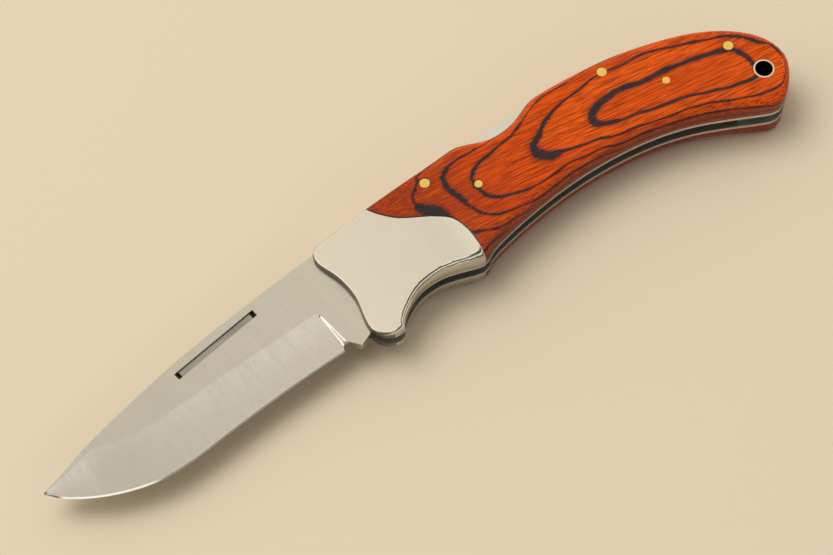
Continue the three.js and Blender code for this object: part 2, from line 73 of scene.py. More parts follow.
MM = 0.001
PIVOT_X = -50.0
FRONT_FACE = 14.0
MID_PLANE = FRONT_FACE / 2
SIDE_THICKNESS = 4.5
LINER_THICKNESS = 0.9
SLOT_WIDTH = 3.2
BLADE_THICKNESS = 2.8
SLOT_FLOOR = SIDE_THICKNESS + LINER_THICKNESS
SLOT_CEILING = SLOT_FLOOR + SLOT_WIDTH
FRONT_LINER_TOP = SLOT_CEILING + LINER_THICKNESS
JOIN_DISTANCE = 0.002
FLAT_ANGLE = math.radians(0.4)

Point = tuple[float, float]
Place = tuple[float, float, float]
Colour = tuple[float, float, float]


def place(x: float, y: float, z: float) -> Vector:
    """Turn millimetres from the blade pivot into a place in the frame, in metres."""
    return Vector(((x + PIVOT_X) * MM, y * MM, z * MM))


def from_pivot(co: Vector) -> Place:
    """Turn a place in the frame into millimetres from the blade pivot."""
    return co.x / MM - PIVOT_X, co.y / MM, co.z / MM


def height_of(edge: BMEdge) -> float:
    """Difference in height between an edge's ends, in millimetres."""
    return abs(edge.verts[0].co.z - edge.verts[1].co.z) / MM


def unit(value: float) -> float:
    """Keep a value between 0 and 1."""
    return max(0.0, min(1.0, value))


def between(t: float, start: float, end: float, first: np.ndarray, second: np.ndarray) -> np.ndarray:
    """Place on the straight line from first, at start, to second, at end."""
    return ((end - t) * first + (t - start) * second) / (end - start)


def smooth_line(points: Sequence[Point], step: float = 0.5) -> np.ndarray:
    """Sample one smooth centripetal curve through the given points.

    Args:
        points: Places that the curve passes through, in millimetres.
        step: Largest distance between two samples.

    Returns:
        The samples as rows of x and y.
    """
    stops = [np.array(p, float) for p in points]
    stops = [2 * stops[0] - stops[1], *stops, 2 * stops[-1] - stops[-2]]
    samples = []
    for first in range(len(stops) - 3):
        span = stops[first : first + 4]
        gaps = [math.sqrt(max(np.linalg.norm(q - p), 1e-6)) for p, q in zip(span, span[1:])]
        knots = np.cumsum([0.0, *gaps])
        count = max(2, math.ceil(np.linalg.norm(span[2] - span[1]) / step))
        for t in np.linspace(knots[1], knots[2], count, endpoint=False):
            once = [between(t, knots[k], knots[k + 1], span[k], span[k + 1]) for k in range(3)]
            twice = [between(t, knots[k], knots[k + 2], once[k], once[k + 1]) for k in range(2)]
            samples.append(between(t, knots[1], knots[2], *twice))
    samples.append(stops[-2])
    return np.array(samples)


class Body(Enum):
    """The moving bodies of the frame."""

    HANDLE = "handle"
    BLADE = "blade"
    LOCK_BAR = "lock_bar"


class Slot(Enum):
    """The material slots."""

    BLADE = "blade_steel"
    BOLSTER = "bolster_steel"
    LOCK = "lock_steel"
    LINER = "liner_steel"
    SPACER = "spacer_steel"
    SPRING = "spring_steel"
    BRASS = "brass"
    WOOD = "red_wood"


class Pick(Enum):
    """What an edit-mode selection is made of."""

    EDGES = "EDGE"
    FACES = "FACE"


class Side(Enum):
    """The two sides of the handle, on either side of the blade."""

    FRONT = "front"
    REAR = "rear"


class Workpiece:
    """A mesh on the bench, shaped in edit mode with Blender's operators."""

    def __init__(self, obj: Object, name: str) -> None:
        """Take an object to the bench, under a new name."""
        self.obj = obj
        self.rename(name)

    @classmethod
    def added(cls, name: str) -> Workpiece:
        """Take the primitive that was added last."""
        return cls(bpy.context.active_object, name)

    @classmethod
    def copy_of(cls, node: Object, name: str) -> Workpiece:
        """Copy a frame node and join its loose triangles into clean faces.

        Args:
            node: The frame's node, which is left as it is.
            name: Name of the new piece.

        Returns:
            The merged copy.
        """
        obj = bpy.data.objects.new(name, node.data.copy())
        bpy.context.scene.collection.objects.link(obj)
        obj.data.materials.clear()
        piece = cls(obj, name)
        with piece.editing():
            bpy.ops.mesh.remove_doubles(threshold=JOIN_DISTANCE * MM)
            bpy.ops.mesh.dissolve_limited(angle_limit=FLAT_ANGLE)
            bpy.ops.mesh.customdata_custom_splitnormals_clear()
        return piece

    def rename(self, name: str) -> None:
        """Give the piece and its mesh a name."""
        self.obj.name = name
        self.obj.data.name = name

    def hold(self) -> None:
        """Select this piece alone and make it active."""
        for other in bpy.context.selected_objects:
            other.select_set(False)
        self.obj.select_set(True)
        bpy.context.view_layer.objects.active = self.obj

    @contextmanager
    def editing(self, pick: Pick | None = None, test: Callable[..., bool] | None = None) -> Iterator[None]:
        """Hold the piece in edit mode, with all of it selected or with what passes a test.

        Args:
            pick: What selections are made of, or None for points.
            test: Says whether one edge or face is wanted.
        """
        self.hold()
        bpy.ops.object.mode_set(mode="EDIT")
        bpy.ops.mesh.select_mode(type=pick.value if pick else "VERT")
        bpy.ops.mesh.select_all(action="SELECT")
        if test:
            self.select(pick, test)
        yield
        bpy.ops.object.mode_set(mode="OBJECT")

    def select(self, pick: Pick, test: Callable[..., bool]) -> None:
        """Select the edges or faces that pass a test, and nothing else, in edit mode.

        Args:
            pick: What the test is asked about.
            test: Says whether one of them is wanted.
        """
        bpy.ops.mesh.select_all(action="DESELECT")
        mesh = bmesh.from_edit_mesh(self.obj.data)
        for item in filter(test, mesh.edges if pick is Pick.EDGES else mesh.faces):
            item.select_set(True)
        bmesh.update_edit_mesh(self.obj.data)

    def slice(self, way: Place, cuts: np.ndarray, floor: float) -> None:
        """Cut the faces above a height into strips.

        Args:
            way: Direction across the cuts.
            cuts: Where they are, along that direction from the pivot.
            floor: The height.
        """
        with self.editing(Pick.FACES):
            for cut in cuts:
                self.select(Pick.FACES, lambda face: face.calc_center_median().z > floor * MM)
                bpy.ops.mesh.bisect(plane_co=place(*(cut * share for share in way)), plane_no=way)

    def reshape(self, move: Callable[[float, float, float], Place]) -> None:
        """Move every point.

        Args:
            move: Gives a point's new place from its old one, in millimetres from the pivot.
        """
        for vertex in self.obj.data.vertices:
            vertex.co = place(*move(*from_pivot(vertex.co)))
        self.obj.data.update()

    def modify(self, kind: str, **settings: object) -> None:
        """Add a modifier and apply it.

        Args:
            kind: Blender's name of it.
            settings: Values for its properties.
        """
        self.hold()
        modifier = self.obj.modifiers.new(kind.lower(), kind)
        for key, value in settings.items():
            setattr(modifier, key, value)
        bpy.ops.object.modifier_apply(modifier=modifier.name)

    def bevel_sharp(self, width: float, segments: int = 2, angle: float = 40.0, clamp: bool = True) -> None:
        """Round every edge sharper than an angle in degrees. Clamped, short edges hold the width back."""
        limit = {"limit_method": "ANGLE", "angle_limit": math.radians(angle), "use_clamp_overlap": clamp}
        self.modify("BEVEL", width=width * MM, segments=segments, miter_outer="MITER_ARC", **limit)

    def combine(self, other: Workpiece, operation: str) -> None:
        """Use up another piece in one of the Boolean modifier's operations."""
        self.modify("BOOLEAN", operation=operation, solver="EXACT", object=other.obj)
        bpy.data.objects.remove(other.obj)

    def opposite(self, name: str) -> Workpiece:
        """Make the same piece for the other side of the blade.

        Args:
            name: Name of the new piece.

        Returns:
            The mirrored piece, with its own mesh.
        """
        obj = self.obj.copy()
        obj.data = self.obj.data.copy()
        bpy.context.scene.collection.objects.link(obj)
        piece = Workpiece(obj, name)
        piece.reshape(lambda x, y, z: (x, y, FRONT_FACE - z))
        with piece.editing(Pick.FACES):
            bpy.ops.mesh.flip_normals()
        return piece

    def finish(self, slot: Slot, look: Look, node: str, body: Body = Body.HANDLE, angle: float = 30) -> None:
        """Shade, dress and seat the finished piece.

        Args:
            slot: A material slot. Not used.
            look: Its finish.
            node: The frame's node that it stands for.
            body: The body that it rides on.
            angle: Edges sharper than this stay sharp, in degrees.
        """
        self.hold()
        bpy.ops.object.shade_smooth_by_angle(angle=math.radians(angle))
        self.modify("WEIGHTED_NORMAL", keep_sharp=True)
        self.obj.data.materials.clear()
        self.obj.data.materials.append(material_of(look))
        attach(self.obj, body.value)
        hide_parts(node)
        log.info("%s: %d faces on %s", self.obj.name, len(self.obj.data.polygons), body.value)

    def dress_faces(self, look: Look, test: Callable[[MeshPolygon], bool]) -> None:
        """Give some of the faces one more finish.

        Args:
            look: The finish that is added.
            test: Says whether one face gets it.
        """
        self.obj.data.materials.append(material_of(look))
        for face in self.obj.data.polygons:
            if test(face):
                face.material_index = len(self.obj.data.materials) - 1


class Wiring:
    """Adds and joins the nodes of one node tree."""

    def __init__(self, tree: NodeTree) -> None:
        """Start on a tree, which is emptied."""
        self.tree = tree
        tree.nodes.clear()

    def add(self, kind: str, inputs: dict | None = None, **settings: object) -> Node:
        """Add a node. A colour that is given without its opacity is opaque.

        Args:
            kind: Blender's name of the node type.
            inputs: Values or sockets for its inputs, by name or number.
            settings: Values for its properties.

        Returns:
            The node.
        """
        node = self.tree.nodes.new(kind)
        for key, value in settings.items():
            setattr(node, key, value)
        for key, value in (inputs or {}).items():
            socket = node.inputs[key]
            if isinstance(value, NodeSocket):
                self.tree.links.new(value, socket)
            else:
                socket.default_value = (*value, 1.0) if socket.type == "RGBA" else value
        return node

    def group(self, tree: NodeTree, inputs: dict) -> NodeOutputs:
        """Place a node group and give its outputs."""
        return self.add("ShaderNodeGroup", inputs, node_tree=tree).outputs

    def maths(self, operation: str, *values: object) -> NodeSocket:
        """Add one step of arithmetic on the values."""
        return self.add("ShaderNodeMath", dict(enumerate(values)), operation=operation).outputs[0]

    def times(self, first: object, second: object) -> NodeSocket:
        """Multiply two values."""
        return self.maths("MULTIPLY", first, second)

    def stretched(self, vector: object, shares: object) -> NodeSocket:
        """Multiply a vector by one share along each axis."""
        inputs = {0: vector, 1: shares}
        return self.add("ShaderNodeVectorMath", inputs, operation="MULTIPLY").outputs[0]

    def turned_to(self, vector: object, way: object) -> NodeSocket:
        """Tell how far a direction is turned to another, as the cosine between them."""
        inputs = {0: vector, 1: way}
        return self.add("ShaderNodeVectorMath", inputs, operation="DOT_PRODUCT").outputs["Value"]

    def where(self, kind: str = "Object") -> NodeSocket:
        """Give the place on the piece, from the frame's origin, or another kind of coordinates."""
        return self.add("ShaderNodeTexCoord").outputs[kind]

    def split(self, vector: object) -> NodeOutputs:
        """Take a vector apart into X, Y and Z."""
        return self.add("ShaderNodeSeparateXYZ", {0: vector}).outputs

    def stored(self, name: str) -> NodeSocket:
        """Read a value that is stored on the piece's points."""
        return self.add("ShaderNodeAttribute", attribute_name=name).outputs["Fac"]

    def bump(self, height: object, strength: float) -> NodeSocket:
        """Turn a height into a fine relief."""
        inputs = {"Height": height, "Strength": strength, "Distance": 0.02 * MM}
        return self.add("ShaderNodeBump", inputs).outputs[0]

    def ramp(self, value: object, low: float, high: float, start: float = 0, end: float = 1) -> NodeSocket:
        """Map a value smoothly from low and high to start and end."""
        inputs = {"Value": value, "From Min": low, "From Max": high, "To Min": start, "To Max": end}
        return self.add("ShaderNodeMapRange", inputs, interpolation_type="SMOOTHSTEP").outputs[0]

    def mix(self, share: object, first: object, second: object) -> NodeSocket:
        """Mix two colours, with a share of the second."""
        return self.add("ShaderNodeMix", {0: share, 6: first, 7: second}, data_type="RGBA").outputs[2]

    def noise(self, vector: object, scale: object, detail: float = 3.0, roughness: float = 0.5) -> NodeSocket:
        """Read a noise texture with a scale, a finest octave and a strength of the fine octaves."""
        inputs = {"Vector": vector, "Scale": scale, "Detail": detail, "Roughness": roughness}
        return self.add("ShaderNodeTexNoise", inputs).outputs["Fac"]

    def surface(self, inputs: dict) -> None:
        """End a material with the Principled shader."""
        shader = self.add("ShaderNodeBsdfPrincipled", inputs)
        self.add("ShaderNodeOutputMaterial", {"Surface": shader.outputs[0]})


def new_material(name: str) -> tuple[Material, Wiring]:
    """Start a material.

    Args:
        name: Its name.

    Returns:
        The material and its empty wiring.
    """
    material = bpy.data.materials.new(name)
    material.use_nodes = True
    return material, Wiring(material.node_tree)


def start_group(name: str, inputs: dict[str, float]) -> tuple[Wiring, NodeOutputs]:
    """Start a node group that is given a vector and some values.

    Args:
        name: Name of the group.
        inputs: Default of each named value.

    Returns:
        The group's wiring, and the sockets of what it is given.
    """
    tree = bpy.data.node_groups.new(name, "ShaderNodeTree")
    tree.interface.new_socket(name="Vector", in_out="INPUT", socket_type="NodeSocketVector")
    for label, default in inputs.items():
        socket = tree.interface.new_socket(name=label, in_out="INPUT", socket_type="NodeSocketFloat")
        socket.default_value = default
    wiring = Wiring(tree)
    return wiring, wiring.add("NodeGroupInput").outputs


def end_group(wiring: Wiring, results: dict[str, NodeSocket]) -> NodeTree:
    """Give a node group its named results.

    Args:
        wiring: The group's wiring.
        results: Each result by its name.

    Returns:
        The group.
    """
    for label in results:
        wiring.tree.interface.new_socket(name=label, in_out="OUTPUT", socket_type="NodeSocketFloat")
    wiring.add("NodeGroupOutput", results)
    return wiring.tree


@cache
def grinding_lines() -> NodeTree:
    """Build, once, the pattern of fine parallel grinding lines, a mask and a height.

    Returns:
        The group.
    """
    wiring, given = start_group("grinding_lines", {"Per Metre": 9000.0, "Stretch": 0.02})
    shares = wiring.add("ShaderNodeCombineXYZ", {"X": 1.0, "Y": given["Stretch"], "Z": 1.0}).outputs[0]
    scaled = wiring.stretched(given["Vector"], shares)
    fine = wiring.noise(scaled, given["Per Metre"], 4.0, 0.65)
    coarse = wiring.noise(scaled, wiring.times(given["Per Metre"], 0.13))
    both = wiring.maths("ADD", wiring.times(fine, 0.7), wiring.times(coarse, 0.3))
    mask = wiring.add("ShaderNodeMapRange", {"Value": both, "From Min": 0.4, "From Max": 0.72}).outputs[0]
    return end_group(wiring, {"Mask": mask, "Height": both})


@cache
def handling_clouds() -> NodeTree:
    """Build, once, the pattern of soft clouds that handling and wiping leave, a mask.

    Returns:
        The group.
    """
    wiring, given = start_group("handling_clouds", {"Per Metre": 90.0, "Amount": 1.0})
    cloud = wiring.noise(given["Vector"], given["Per Metre"], 5.0, 0.6)
    return end_group(wiring, {"Mask": wiring.times(wiring.ramp(cloud, 0.35, 0.7), given["Amount"])})


@cache
def veneer_sheets() -> NodeTree:
    """Build, once, the pattern of glue lines between veneers, from the number of veneers under the surface.

    Returns:
        The group.
    """
    wiring, given = start_group("veneer_sheets", {"Sheet": 0.0, "Reach": 0.1, "Rise": 0.1})
    combed = wiring.noise(wiring.stretched(given["Vector"], (0.07, 1.0, 1.0)), 2200.0, 2.0)
    swollen = wiring.noise(wiring.stretched(given["Vector"], (0.6, 1.0, 1.0)), 420.0, 3.0, 0.6)
    comb = wiring.maths("SUBTRACT", combed, 0.5)
    sheet = wiring.maths("MULTIPLY_ADD", wiring.times(comb, given["Rise"]), 1.6, given["Sheet"])
    away = wiring.maths("ABSOLUTE", wiring.maths("SUBTRACT", sheet, wiring.maths("ROUND", sheet)))
    uneven = wiring.maths("DIVIDE", away, wiring.maths("MAXIMUM", given["Reach"], 0.004))
    uneven = wiring.maths("MULTIPLY_ADD", wiring.maths("SUBTRACT", swollen, 0.5), 1.6, uneven)
    uneven = wiring.maths("MULTIPLY_ADD", comb, 0.6, uneven)
    glue = wiring.ramp(uneven, 0.75, 1.5, 1.0, 0.0)
    stain = wiring.ramp(uneven, 0.8, 3.0, 1.0, 0.0)
    tone = wiring.add("ShaderNodeTexWhiteNoise", {"W": wiring.maths("FLOOR", sheet)}, noise_dimensions="1D")
    return end_group(wiring, {"Glue": glue, "Stain": stain, "Tone": tone.outputs["Value"]})


@cache
def wood_fibres() -> NodeTree:
    """Build, once, the pattern of dark pores, fine hairs and long pale streaks that run along the wood.

    Returns:
        The group.
    """
    wiring, given = start_group("wood_fibres", {})
    long = wiring.stretched(given["Vector"], (0.022, 1.0, 1.0))
    short = wiring.stretched(given["Vector"], (0.045, 1.0, 1.0))
    streaks = wiring.noise(long, 1280.0, 5.0, 0.7)
    hairs = wiring.noise(short, 4800.0, 2.0)
    pores = wiring.ramp(wiring.noise(long, 3200.0, 3.0, 0.6), 0.53, 0.64)
    return end_group(wiring, {"Pores": pores, "Hairs": hairs, "Streaks": streaks})


@dataclass(frozen=True)
class MetalFinish:
    """A ground or polished metal surface.

    The lines run along the Y axis of the pattern, which is turned by the angle in degrees.
    """

    name: str
    colour: Colour
    line_colour: Colour
    roughness: float
    rough_lines: float
    per_metre: float
    stretch: float
    angle: float
    relief: float
    clouds: float

    def material(self) -> Material:
        """Build the material.

        Returns:
            The material.
        """
        material, wiring = new_material(self.name)
        where = wiring.where()
        turn = (0.0, 0.0, math.radians(self.angle))
        turned = wiring.add("ShaderNodeMapping", {"Vector": where, "Rotation": turn}).outputs[0]
        given = {"Vector": turned, "Per Metre": self.per_metre, "Stretch": self.stretch}
        lines = wiring.group(grinding_lines(), given)
        clouds = wiring.group(handling_clouds(), {"Vector": where, "Amount": self.clouds})
        rough = wiring.maths("MULTIPLY_ADD", lines["Mask"], self.rough_lines, self.roughness)
        wiring.surface(
            {
                "Base Color": wiring.mix(lines["Mask"], self.colour, self.line_colour),
                "Roughness": wiring.maths("ADD", rough, wiring.times(clouds["Mask"], 0.12)),
                "Metallic": 1.0,
                "Normal": wiring.bump(lines["Height"], self.relief),
            }
        )
        return material


@dataclass(frozen=True)
class LaminateFinish:
    """Red dyed veneers glued with charcoal lines, sanded round and sealed.

    The fibres follow the handle: their slope and its change along X, per metre, are given at the origin.
    """

    name: str
    amber: Colour
    crimson: Colour
    umber: Colour
    burnt_and_shade: Colour
    glue: Colour
    fibre_slope: float = -0.15
    fibre_bend: float = -0.1

    def material(self) -> Material:
        """Build the material.

        Returns:
            The material.
        """
        material, wiring = new_material(self.name)
        depth = wiring.stored(VeneerField.DEPTH)
        x, y, z = wiring.split(wiring.where())
        slope = wiring.maths("MULTIPLY_ADD", x, self.fibre_bend, self.fibre_slope)
        level = wiring.maths("SUBTRACT", y, wiring.times(x, slope))
        along = wiring.add("ShaderNodeCombineXYZ", {"X": x, "Y": level, "Z": z}).outputs[0]
        stores = {"Sheet": VeneerField.SHEET, "Reach": VeneerField.REACH, "Rise": VeneerField.RISE}
        given = {"Vector": along} | {label: wiring.stored(name) for label, name in stores.items()}
        veneers = wiring.group(veneer_sheets(), given)
        fibres = wiring.group(wood_fibres(), {"Vector": along})
        clouds = wiring.group(handling_clouds(), {"Vector": along, "Per Metre": 140.0})
        near_bolster = wiring.ramp(x, -0.038, -0.008, 1.0, 0.0)
        stain = wiring.maths("MULTIPLY_ADD", near_bolster, 0.4, 0.36)
        burnt = wiring.ramp(fibres["Hairs"], 0.38, 0.58, 0.2, 0.85)
        glue = wiring.times(veneers["Glue"], wiring.ramp(depth, 0.8, 2.6, 0.97, 0.45))
        layers = (
            (wiring.times(veneers["Tone"], 0.4), self.crimson),
            (wiring.times(clouds["Mask"], 0.3), self.crimson),
            (wiring.ramp(fibres["Streaks"], 0.42, 0.64, 0.0, 0.55), self.crimson),
            (wiring.ramp(fibres["Hairs"], 0.44, 0.66, 0.0, 0.6), self.umber),
            (wiring.times(fibres["Pores"], 0.72), self.umber),
            (wiring.times(veneers["Stain"], stain), self.umber),
            (wiring.times(near_bolster, 0.6), self.crimson),
            (wiring.times(near_bolster, burnt), self.burnt_and_shade),
            # Painted shade: the wood turns dark brown with depth below the sanded face, on its rounded edges.
            (wiring.ramp(depth, 0.25, 2.6, 0.0, 0.6), self.burnt_and_shade),
            (wiring.times(glue, wiring.ramp(fibres["Hairs"], 0.3, 0.5, 0.85, 1.0)), self.glue),
        )
        colour = self.amber
        for share, dye in layers:
            colour = wiring.mix(share, colour, dye)
        wiring.surface(
            {
                "Base Color": colour,
                "Roughness": wiring.maths("MULTIPLY_ADD", fibres["Pores"], 0.12, 0.36),
                "Normal": wiring.bump(wiring.maths("SUBTRACT", fibres["Streaks"], fibres["Pores"]), 0.2),
                "Coat Weight": wiring.ramp(depth, 0.05, 0.8, 0.02, 0.35),
                "Coat Roughness": 0.18,
                "Specular IOR Level": 0.07,
            }
        )
        return material


class Look(Enum):
    """The knife's finishes."""

    BLADE = MetalFinish(
        "satin_blade", (0.67, 0.635, 0.55), (0.61, 0.575, 0.495), 0.16, 0.08, 5200, 0.03, -6, 0.05, 0.4
    )
    # Brighter, smoother steel for the plunge and the edge bevel: partly a fresher grind, partly a painted
    # highlight.
    FRESH_AND_HIGHLIT = MetalFinish(
        "fresh_grind_and_highlight", (0.88, 0.86, 0.81), (0.82, 0.80, 0.75), 0.08, 0.03, 5200, 0.03, -6, 0.02, 0.2
    )
    BOLSTER = MetalFinish(
        "polished_bolster", (0.86, 0.80, 0.69), (0.84, 0.78, 0.67), 0.13, 0.03, 3500, 0.02, 30, 0.015, 0.35
    )
    # Darker steel in the nail nick: partly its milled finish, partly painted shade in the recess.
    MILLED_AND_SHADED = MetalFinish(
        "milled_nick_and_shade", (0.44, 0.42, 0.365), (0.30, 0.285, 0.25), 0.28, 0.15, 3800, 0.03, 97, 0.2, 0.4
    )
    # Painted shade: a darker steel for the bolsters' belly walls, which are polished like the face.
    SIDE = MetalFinish(
        "painted_shade_bolster_side", (0.56, 0.53, 0.47), (0.42, 0.40, 0.35), 0.24, 0.12, 3000, 0.04, 90, 0.1, 0.5
    )
    # Painted shade: near-black for walls in corners and joints, where shade falls.
    CORNER = MetalFinish(
        "painted_shade_in_corners", (0.20, 0.185, 0.165), (0.13, 0.12, 0.105), 0.3, 0.12, 3000, 0.04, 90, 0.1, 0.5
    )
    LOCK = MetalFinish(
        "polished_lock_bar", (0.80, 0.77, 0.69), (0.70, 0.67, 0.60), 0.16, 0.1, 5000, 0.02, 90, 0.1, 0.4
    )
    LINER = MetalFinish(
        "satin_liner", (0.74, 0.71, 0.64), (0.58, 0.55, 0.50), 0.25, 0.15, 5000, 0.02, 90, 0.15, 0.3
    )
    # Matt steel for the spacer and the spring, painted dark grey as the shade of the slot.
    DULL_AND_SHADED = MetalFinish(
        "dull_and_shaded_spacer", (0.30, 0.32, 0.31), (0.22, 0.23, 0.23), 0.45, 0.15, 4000, 0.05, 90, 0.2, 0.6
    )
    # Painted shade: darker steel for the liners' broad faces, which darkens the slot between them.
    SHADED_LINER = MetalFinish(
        "painted_shade_liner_inside", (0.38, 0.39, 0.36), (0.26, 0.26, 0.24), 0.5, 0.15, 4000, 0.05, 90, 0.15, 0.6
    )
    PIN = MetalFinish(
        "plain_pin", (0.70, 0.68, 0.62), (0.55, 0.53, 0.48), 0.25, 0.12, 4000, 0.04, 40, 0.15, 0.3
    )
    BRASS = MetalFinish(
        "dressed_brass", (0.97, 0.68, 0.17), (0.86, 0.56, 0.11), 0.22, 0.12, 6000, 0.03, 20, 0.1, 0.4
    )
    PALE_BRASS = MetalFinish(
        "worn_tube_brass", (0.96, 0.86, 0.60), (0.80, 0.68, 0.42), 0.2, 0.12, 6000, 0.03, 60, 0.1, 0.4
    )
    # Painted shade: near-black for the tube's bore and the nail nick's end pockets.
    SHADED_HOLLOW = MetalFinish(
        "painted_shade_bore", (0.06, 0.045, 0.025), (0.03, 0.022, 0.012), 0.5, 0.1, 3000, 0.05, 60, 0.1, 0.6
    )
    WOOD = LaminateFinish(
        "dyed_laminate",
        amber=(0.93, 0.135, 0.007),
        crimson=(0.58, 0.050, 0.005),
        umber=(0.14, 0.018, 0.006),
        burnt_and_shade=(0.16, 0.034, 0.015),
        glue=(0.022, 0.026, 0.031),
    )


@cache
def material_of(look: Look) -> Material:
    """Build a finish's material, once."""
    return look.value.material()


@dataclass(frozen=True)
class Taper:
    """The thinning of the handle towards the blade, eased where it starts.

    Lengths are in millimetres from the pivot.
    """

    start: float = 17.5
    slope: float = 0.13
    ease: float = 7.0
    strip: float = 1.0

    def straight(self, x: float) -> float:
        """Height of the frame's own front face at a place along the handle."""
        return FRONT_FACE - self.slope * max(0.0, self.start - x)

    def eased(self, x: float) -> float:
        """Give the height of the finished front face, with a soft start to the slope.

        Args:
            x: Place along the handle.

        Returns:
            The height there.
        """
        ahead = self.start - x
        if ahead >= self.ease:
            return self.straight(x)
        run = max(0.0, ahead + self.ease)
        return FRONT_FACE - self.slope * run * run / (4 * self.ease)

    def moved(self, x: float, y: float, z: float) -> Place:
        """New place of a point on the front side."""
        share = (self.eased(x) - FRONT_LINER_TOP) / (self.straight(x) - FRONT_LINER_TOP)
        return x, y, z if z <= FRONT_LINER_TOP else FRONT_LINER_TOP + (z - FRONT_LINER_TOP) * share


TAPER = Taper()


def distances(first: np.ndarray, second: np.ndarray) -> np.ndarray:
    """Distance of each of the first places from each of the second."""
    return np.linalg.norm(first[:, None] - second[None], axis=2)


def nearby(apart: np.ndarray, blur: float, values: np.ndarray) -> np.ndarray:
    """Mean of the values in each row of distances, where the near ones count most."""
    share = 1.0 / (apart + blur) ** 4
    return (share @ values) / share.sum(axis=1)


class VeneerField:
    """The laminate's sheets under the wood's surface, as one smooth height that is fitted once.

    Each glue line on the sanded face is where this height is a whole number. A line is given by its
    places and the glue's half width there, and the places between lines by their height.
    """

    SHEET = "veneer_sheet"
    REACH = "glue_reach"
    RISE = "sheet_rise"
    DEPTH = "depth_below_face"
    THICKNESS = 1.9
    ROUNDING = 1.6
    STIFFNESS = 1.2
    PROBE = 0.2
    FIBRE_STEP = (0.5, -0.075)
    FIT_BLUR = 0.1
    GLUE_BLUR = 0.3
    GLUE_SPREAD = 1.15
    FRONT_SHIFT = (0.0, 0.2)
    REAR_SHIFT = (3.0, 0.6)
    REAR_STRETCH = (1.0, 0.94)
    LINES: dict[float, tuple[Place, ...]] = {
        5.0: (
            (98.5, -4.0, 0.5), (94.8, -1.9, 0.5), (89.3, -0.2, 0.5), (83.0, 1.2, 0.55), (76.9, 1.7, 0.55),
            (72.1, 3.2, 0.6), (67.1, 3.6, 0.65), (63.3, 3.1, 0.75), (60.7, 1.7, 0.85), (60.5, -0.4, 0.7),
            (62.2, -1.7, 0.45), (66.9, -3.5, 0.3), (73.4, -5.3, 0.32), (79.1, -6.6, 0.33), (85.3, -8.9, 0.3),
            (90.4, -11.0, 0.28), (94.4, -12.0, 0.33), (98.0, -12.7, 0.4),
        ),
        4.0: (
            (66.1, 9.8, 0.18), (70.5, 9.3, 0.2), (74.5, 8.4, 0.22), (78.7, 8.0, 0.22), (82.3, 7.2, 0.22),
            (85.4, 6.2, 0.2), (88.2, 4.8, 0.18), (95.6, 1.7, 0.16), (100.8, -1.2, 0.35), (104.0, -5.3, 0.5),
            (105.7, -9.9, 0.4), (105.6, -13.3, 0.25), (101.8, -17.2, 0.22), (97.6, -17.1, 0.2),
            (91.8, -15.1, 0.2), (84.9, -11.6, 0.2), (79.6, -9.7, 0.2), (73.2, -8.2, 0.22), (67.2, -6.4, 0.22),
            (61.0, -5.1, 0.22), (55.8, -3.5, 0.22), (51.2, -2.0, 0.3), (47.5, -0.9, 1.0), (45.3, 0.8, 1.15),
            (45.2, 3.4, 0.8), (47.4, 4.7, 0.5), (50.7, 6.9, 0.35), (55.2, 8.5, 0.25), (60.6, 9.1, 0.2),
        ),
        3.0: (
            (63.9, 12.3, 0.1), (55.7, 12.6, 0.12), (49.6, 11.4, 0.14), (42.9, 8.7, 0.2), (38.1, 8.4, 0.22),
            (33.6, 7.8, 0.28), (30.5, 6.6, 0.3), (28.7, 4.6, 0.33), (28.5, 1.9, 0.36), (29.4, -0.7, 0.4),
            (31.8, -2.8, 0.3), (35.5, -4.2, 0.22), (40.0, -5.0, 0.25), (44.8, -5.1, 0.25), (49.9, -4.9, 0.2),
            (57.4, -6.0, 0.18),
        ),
        2.0: (
            (36.7, 10.4, 0.16), (32.2, 10.8, 0.18), (28.3, 11.1, 0.25), (25.0, 10.3, 0.35), (23.5, 9.1, 0.45),
            (23.1, 6.6, 0.55), (23.8, 2.9, 0.5), (24.7, -1.3, 0.28), (26.1, -4.0, 0.25), (29.2, -6.2, 0.22),
            (33.4, -7.1, 0.2),
        ),
        1.0: (
            (17.7, 11.2, 0.2), (15.6, 9.9, 0.25), (14.8, 8.3, 0.3), (15.5, 5.5, 1.1), (17.7, 2.9, 1.2),
            (21.6, -6.3, 0.27), (23.7, -7.2, 0.3), (26.5, -8.7, 0.28), (31.0, -9.2, 0.18),
        ),
    }
    BETWEEN: tuple[Place, ...] = (
        (80, -3, 5.6), (90, -6, 5.6), (70, 0, 5.4), (55, 3, 4.4), (36, 2.5, 3.4), (107.9, -9, 3.6),
        (98, -20.5, 3.4), (80, 12.5, 3.2), (40, -8.0, 2.2), (60, -9.5, 2.6), (80, -15, 3.0), (8, 13, 0.4),
    )

    def __init__(self, scale: Workpiece) -> None:
        """Fit the height to the lines, as they lie on the front scale's sanded face.

        Args:
            scale: The front wood scale.
        """
        flat, depth = self._measured(scale, Side.FRONT)
        upper = depth < self.ROUNDING
        self.glue = np.array([point for line in self.LINES.values() for point in line])
        known = [(x, y, sheet) for sheet, line in self.LINES.items() for x, y, _ in line]
        table = np.array([*known, *self.BETWEEN], float)
        self.points = table[:, :2]
        below = nearby(distances(self.points, flat[upper]), self.FIT_BLUR, np.clip(depth[upper], 0.0, None))
        table[:, 2] += below / self.THICKNESS
        count = len(table)
        system = np.zeros((count + 3, count + 3))
        bent = self._bend(distances(self.points, self.points))
        system[:count, :count] = bent + self.STIFFNESS * np.eye(count)
        system[:count, count] = system[count, :count] = 1.0
        system[:count, count + 1 :] = self.points
        system[count + 1 :, :count] = self.points.T
        self.weights = np.linalg.solve(system, np.concatenate([table[:, 2], np.zeros(3)]))

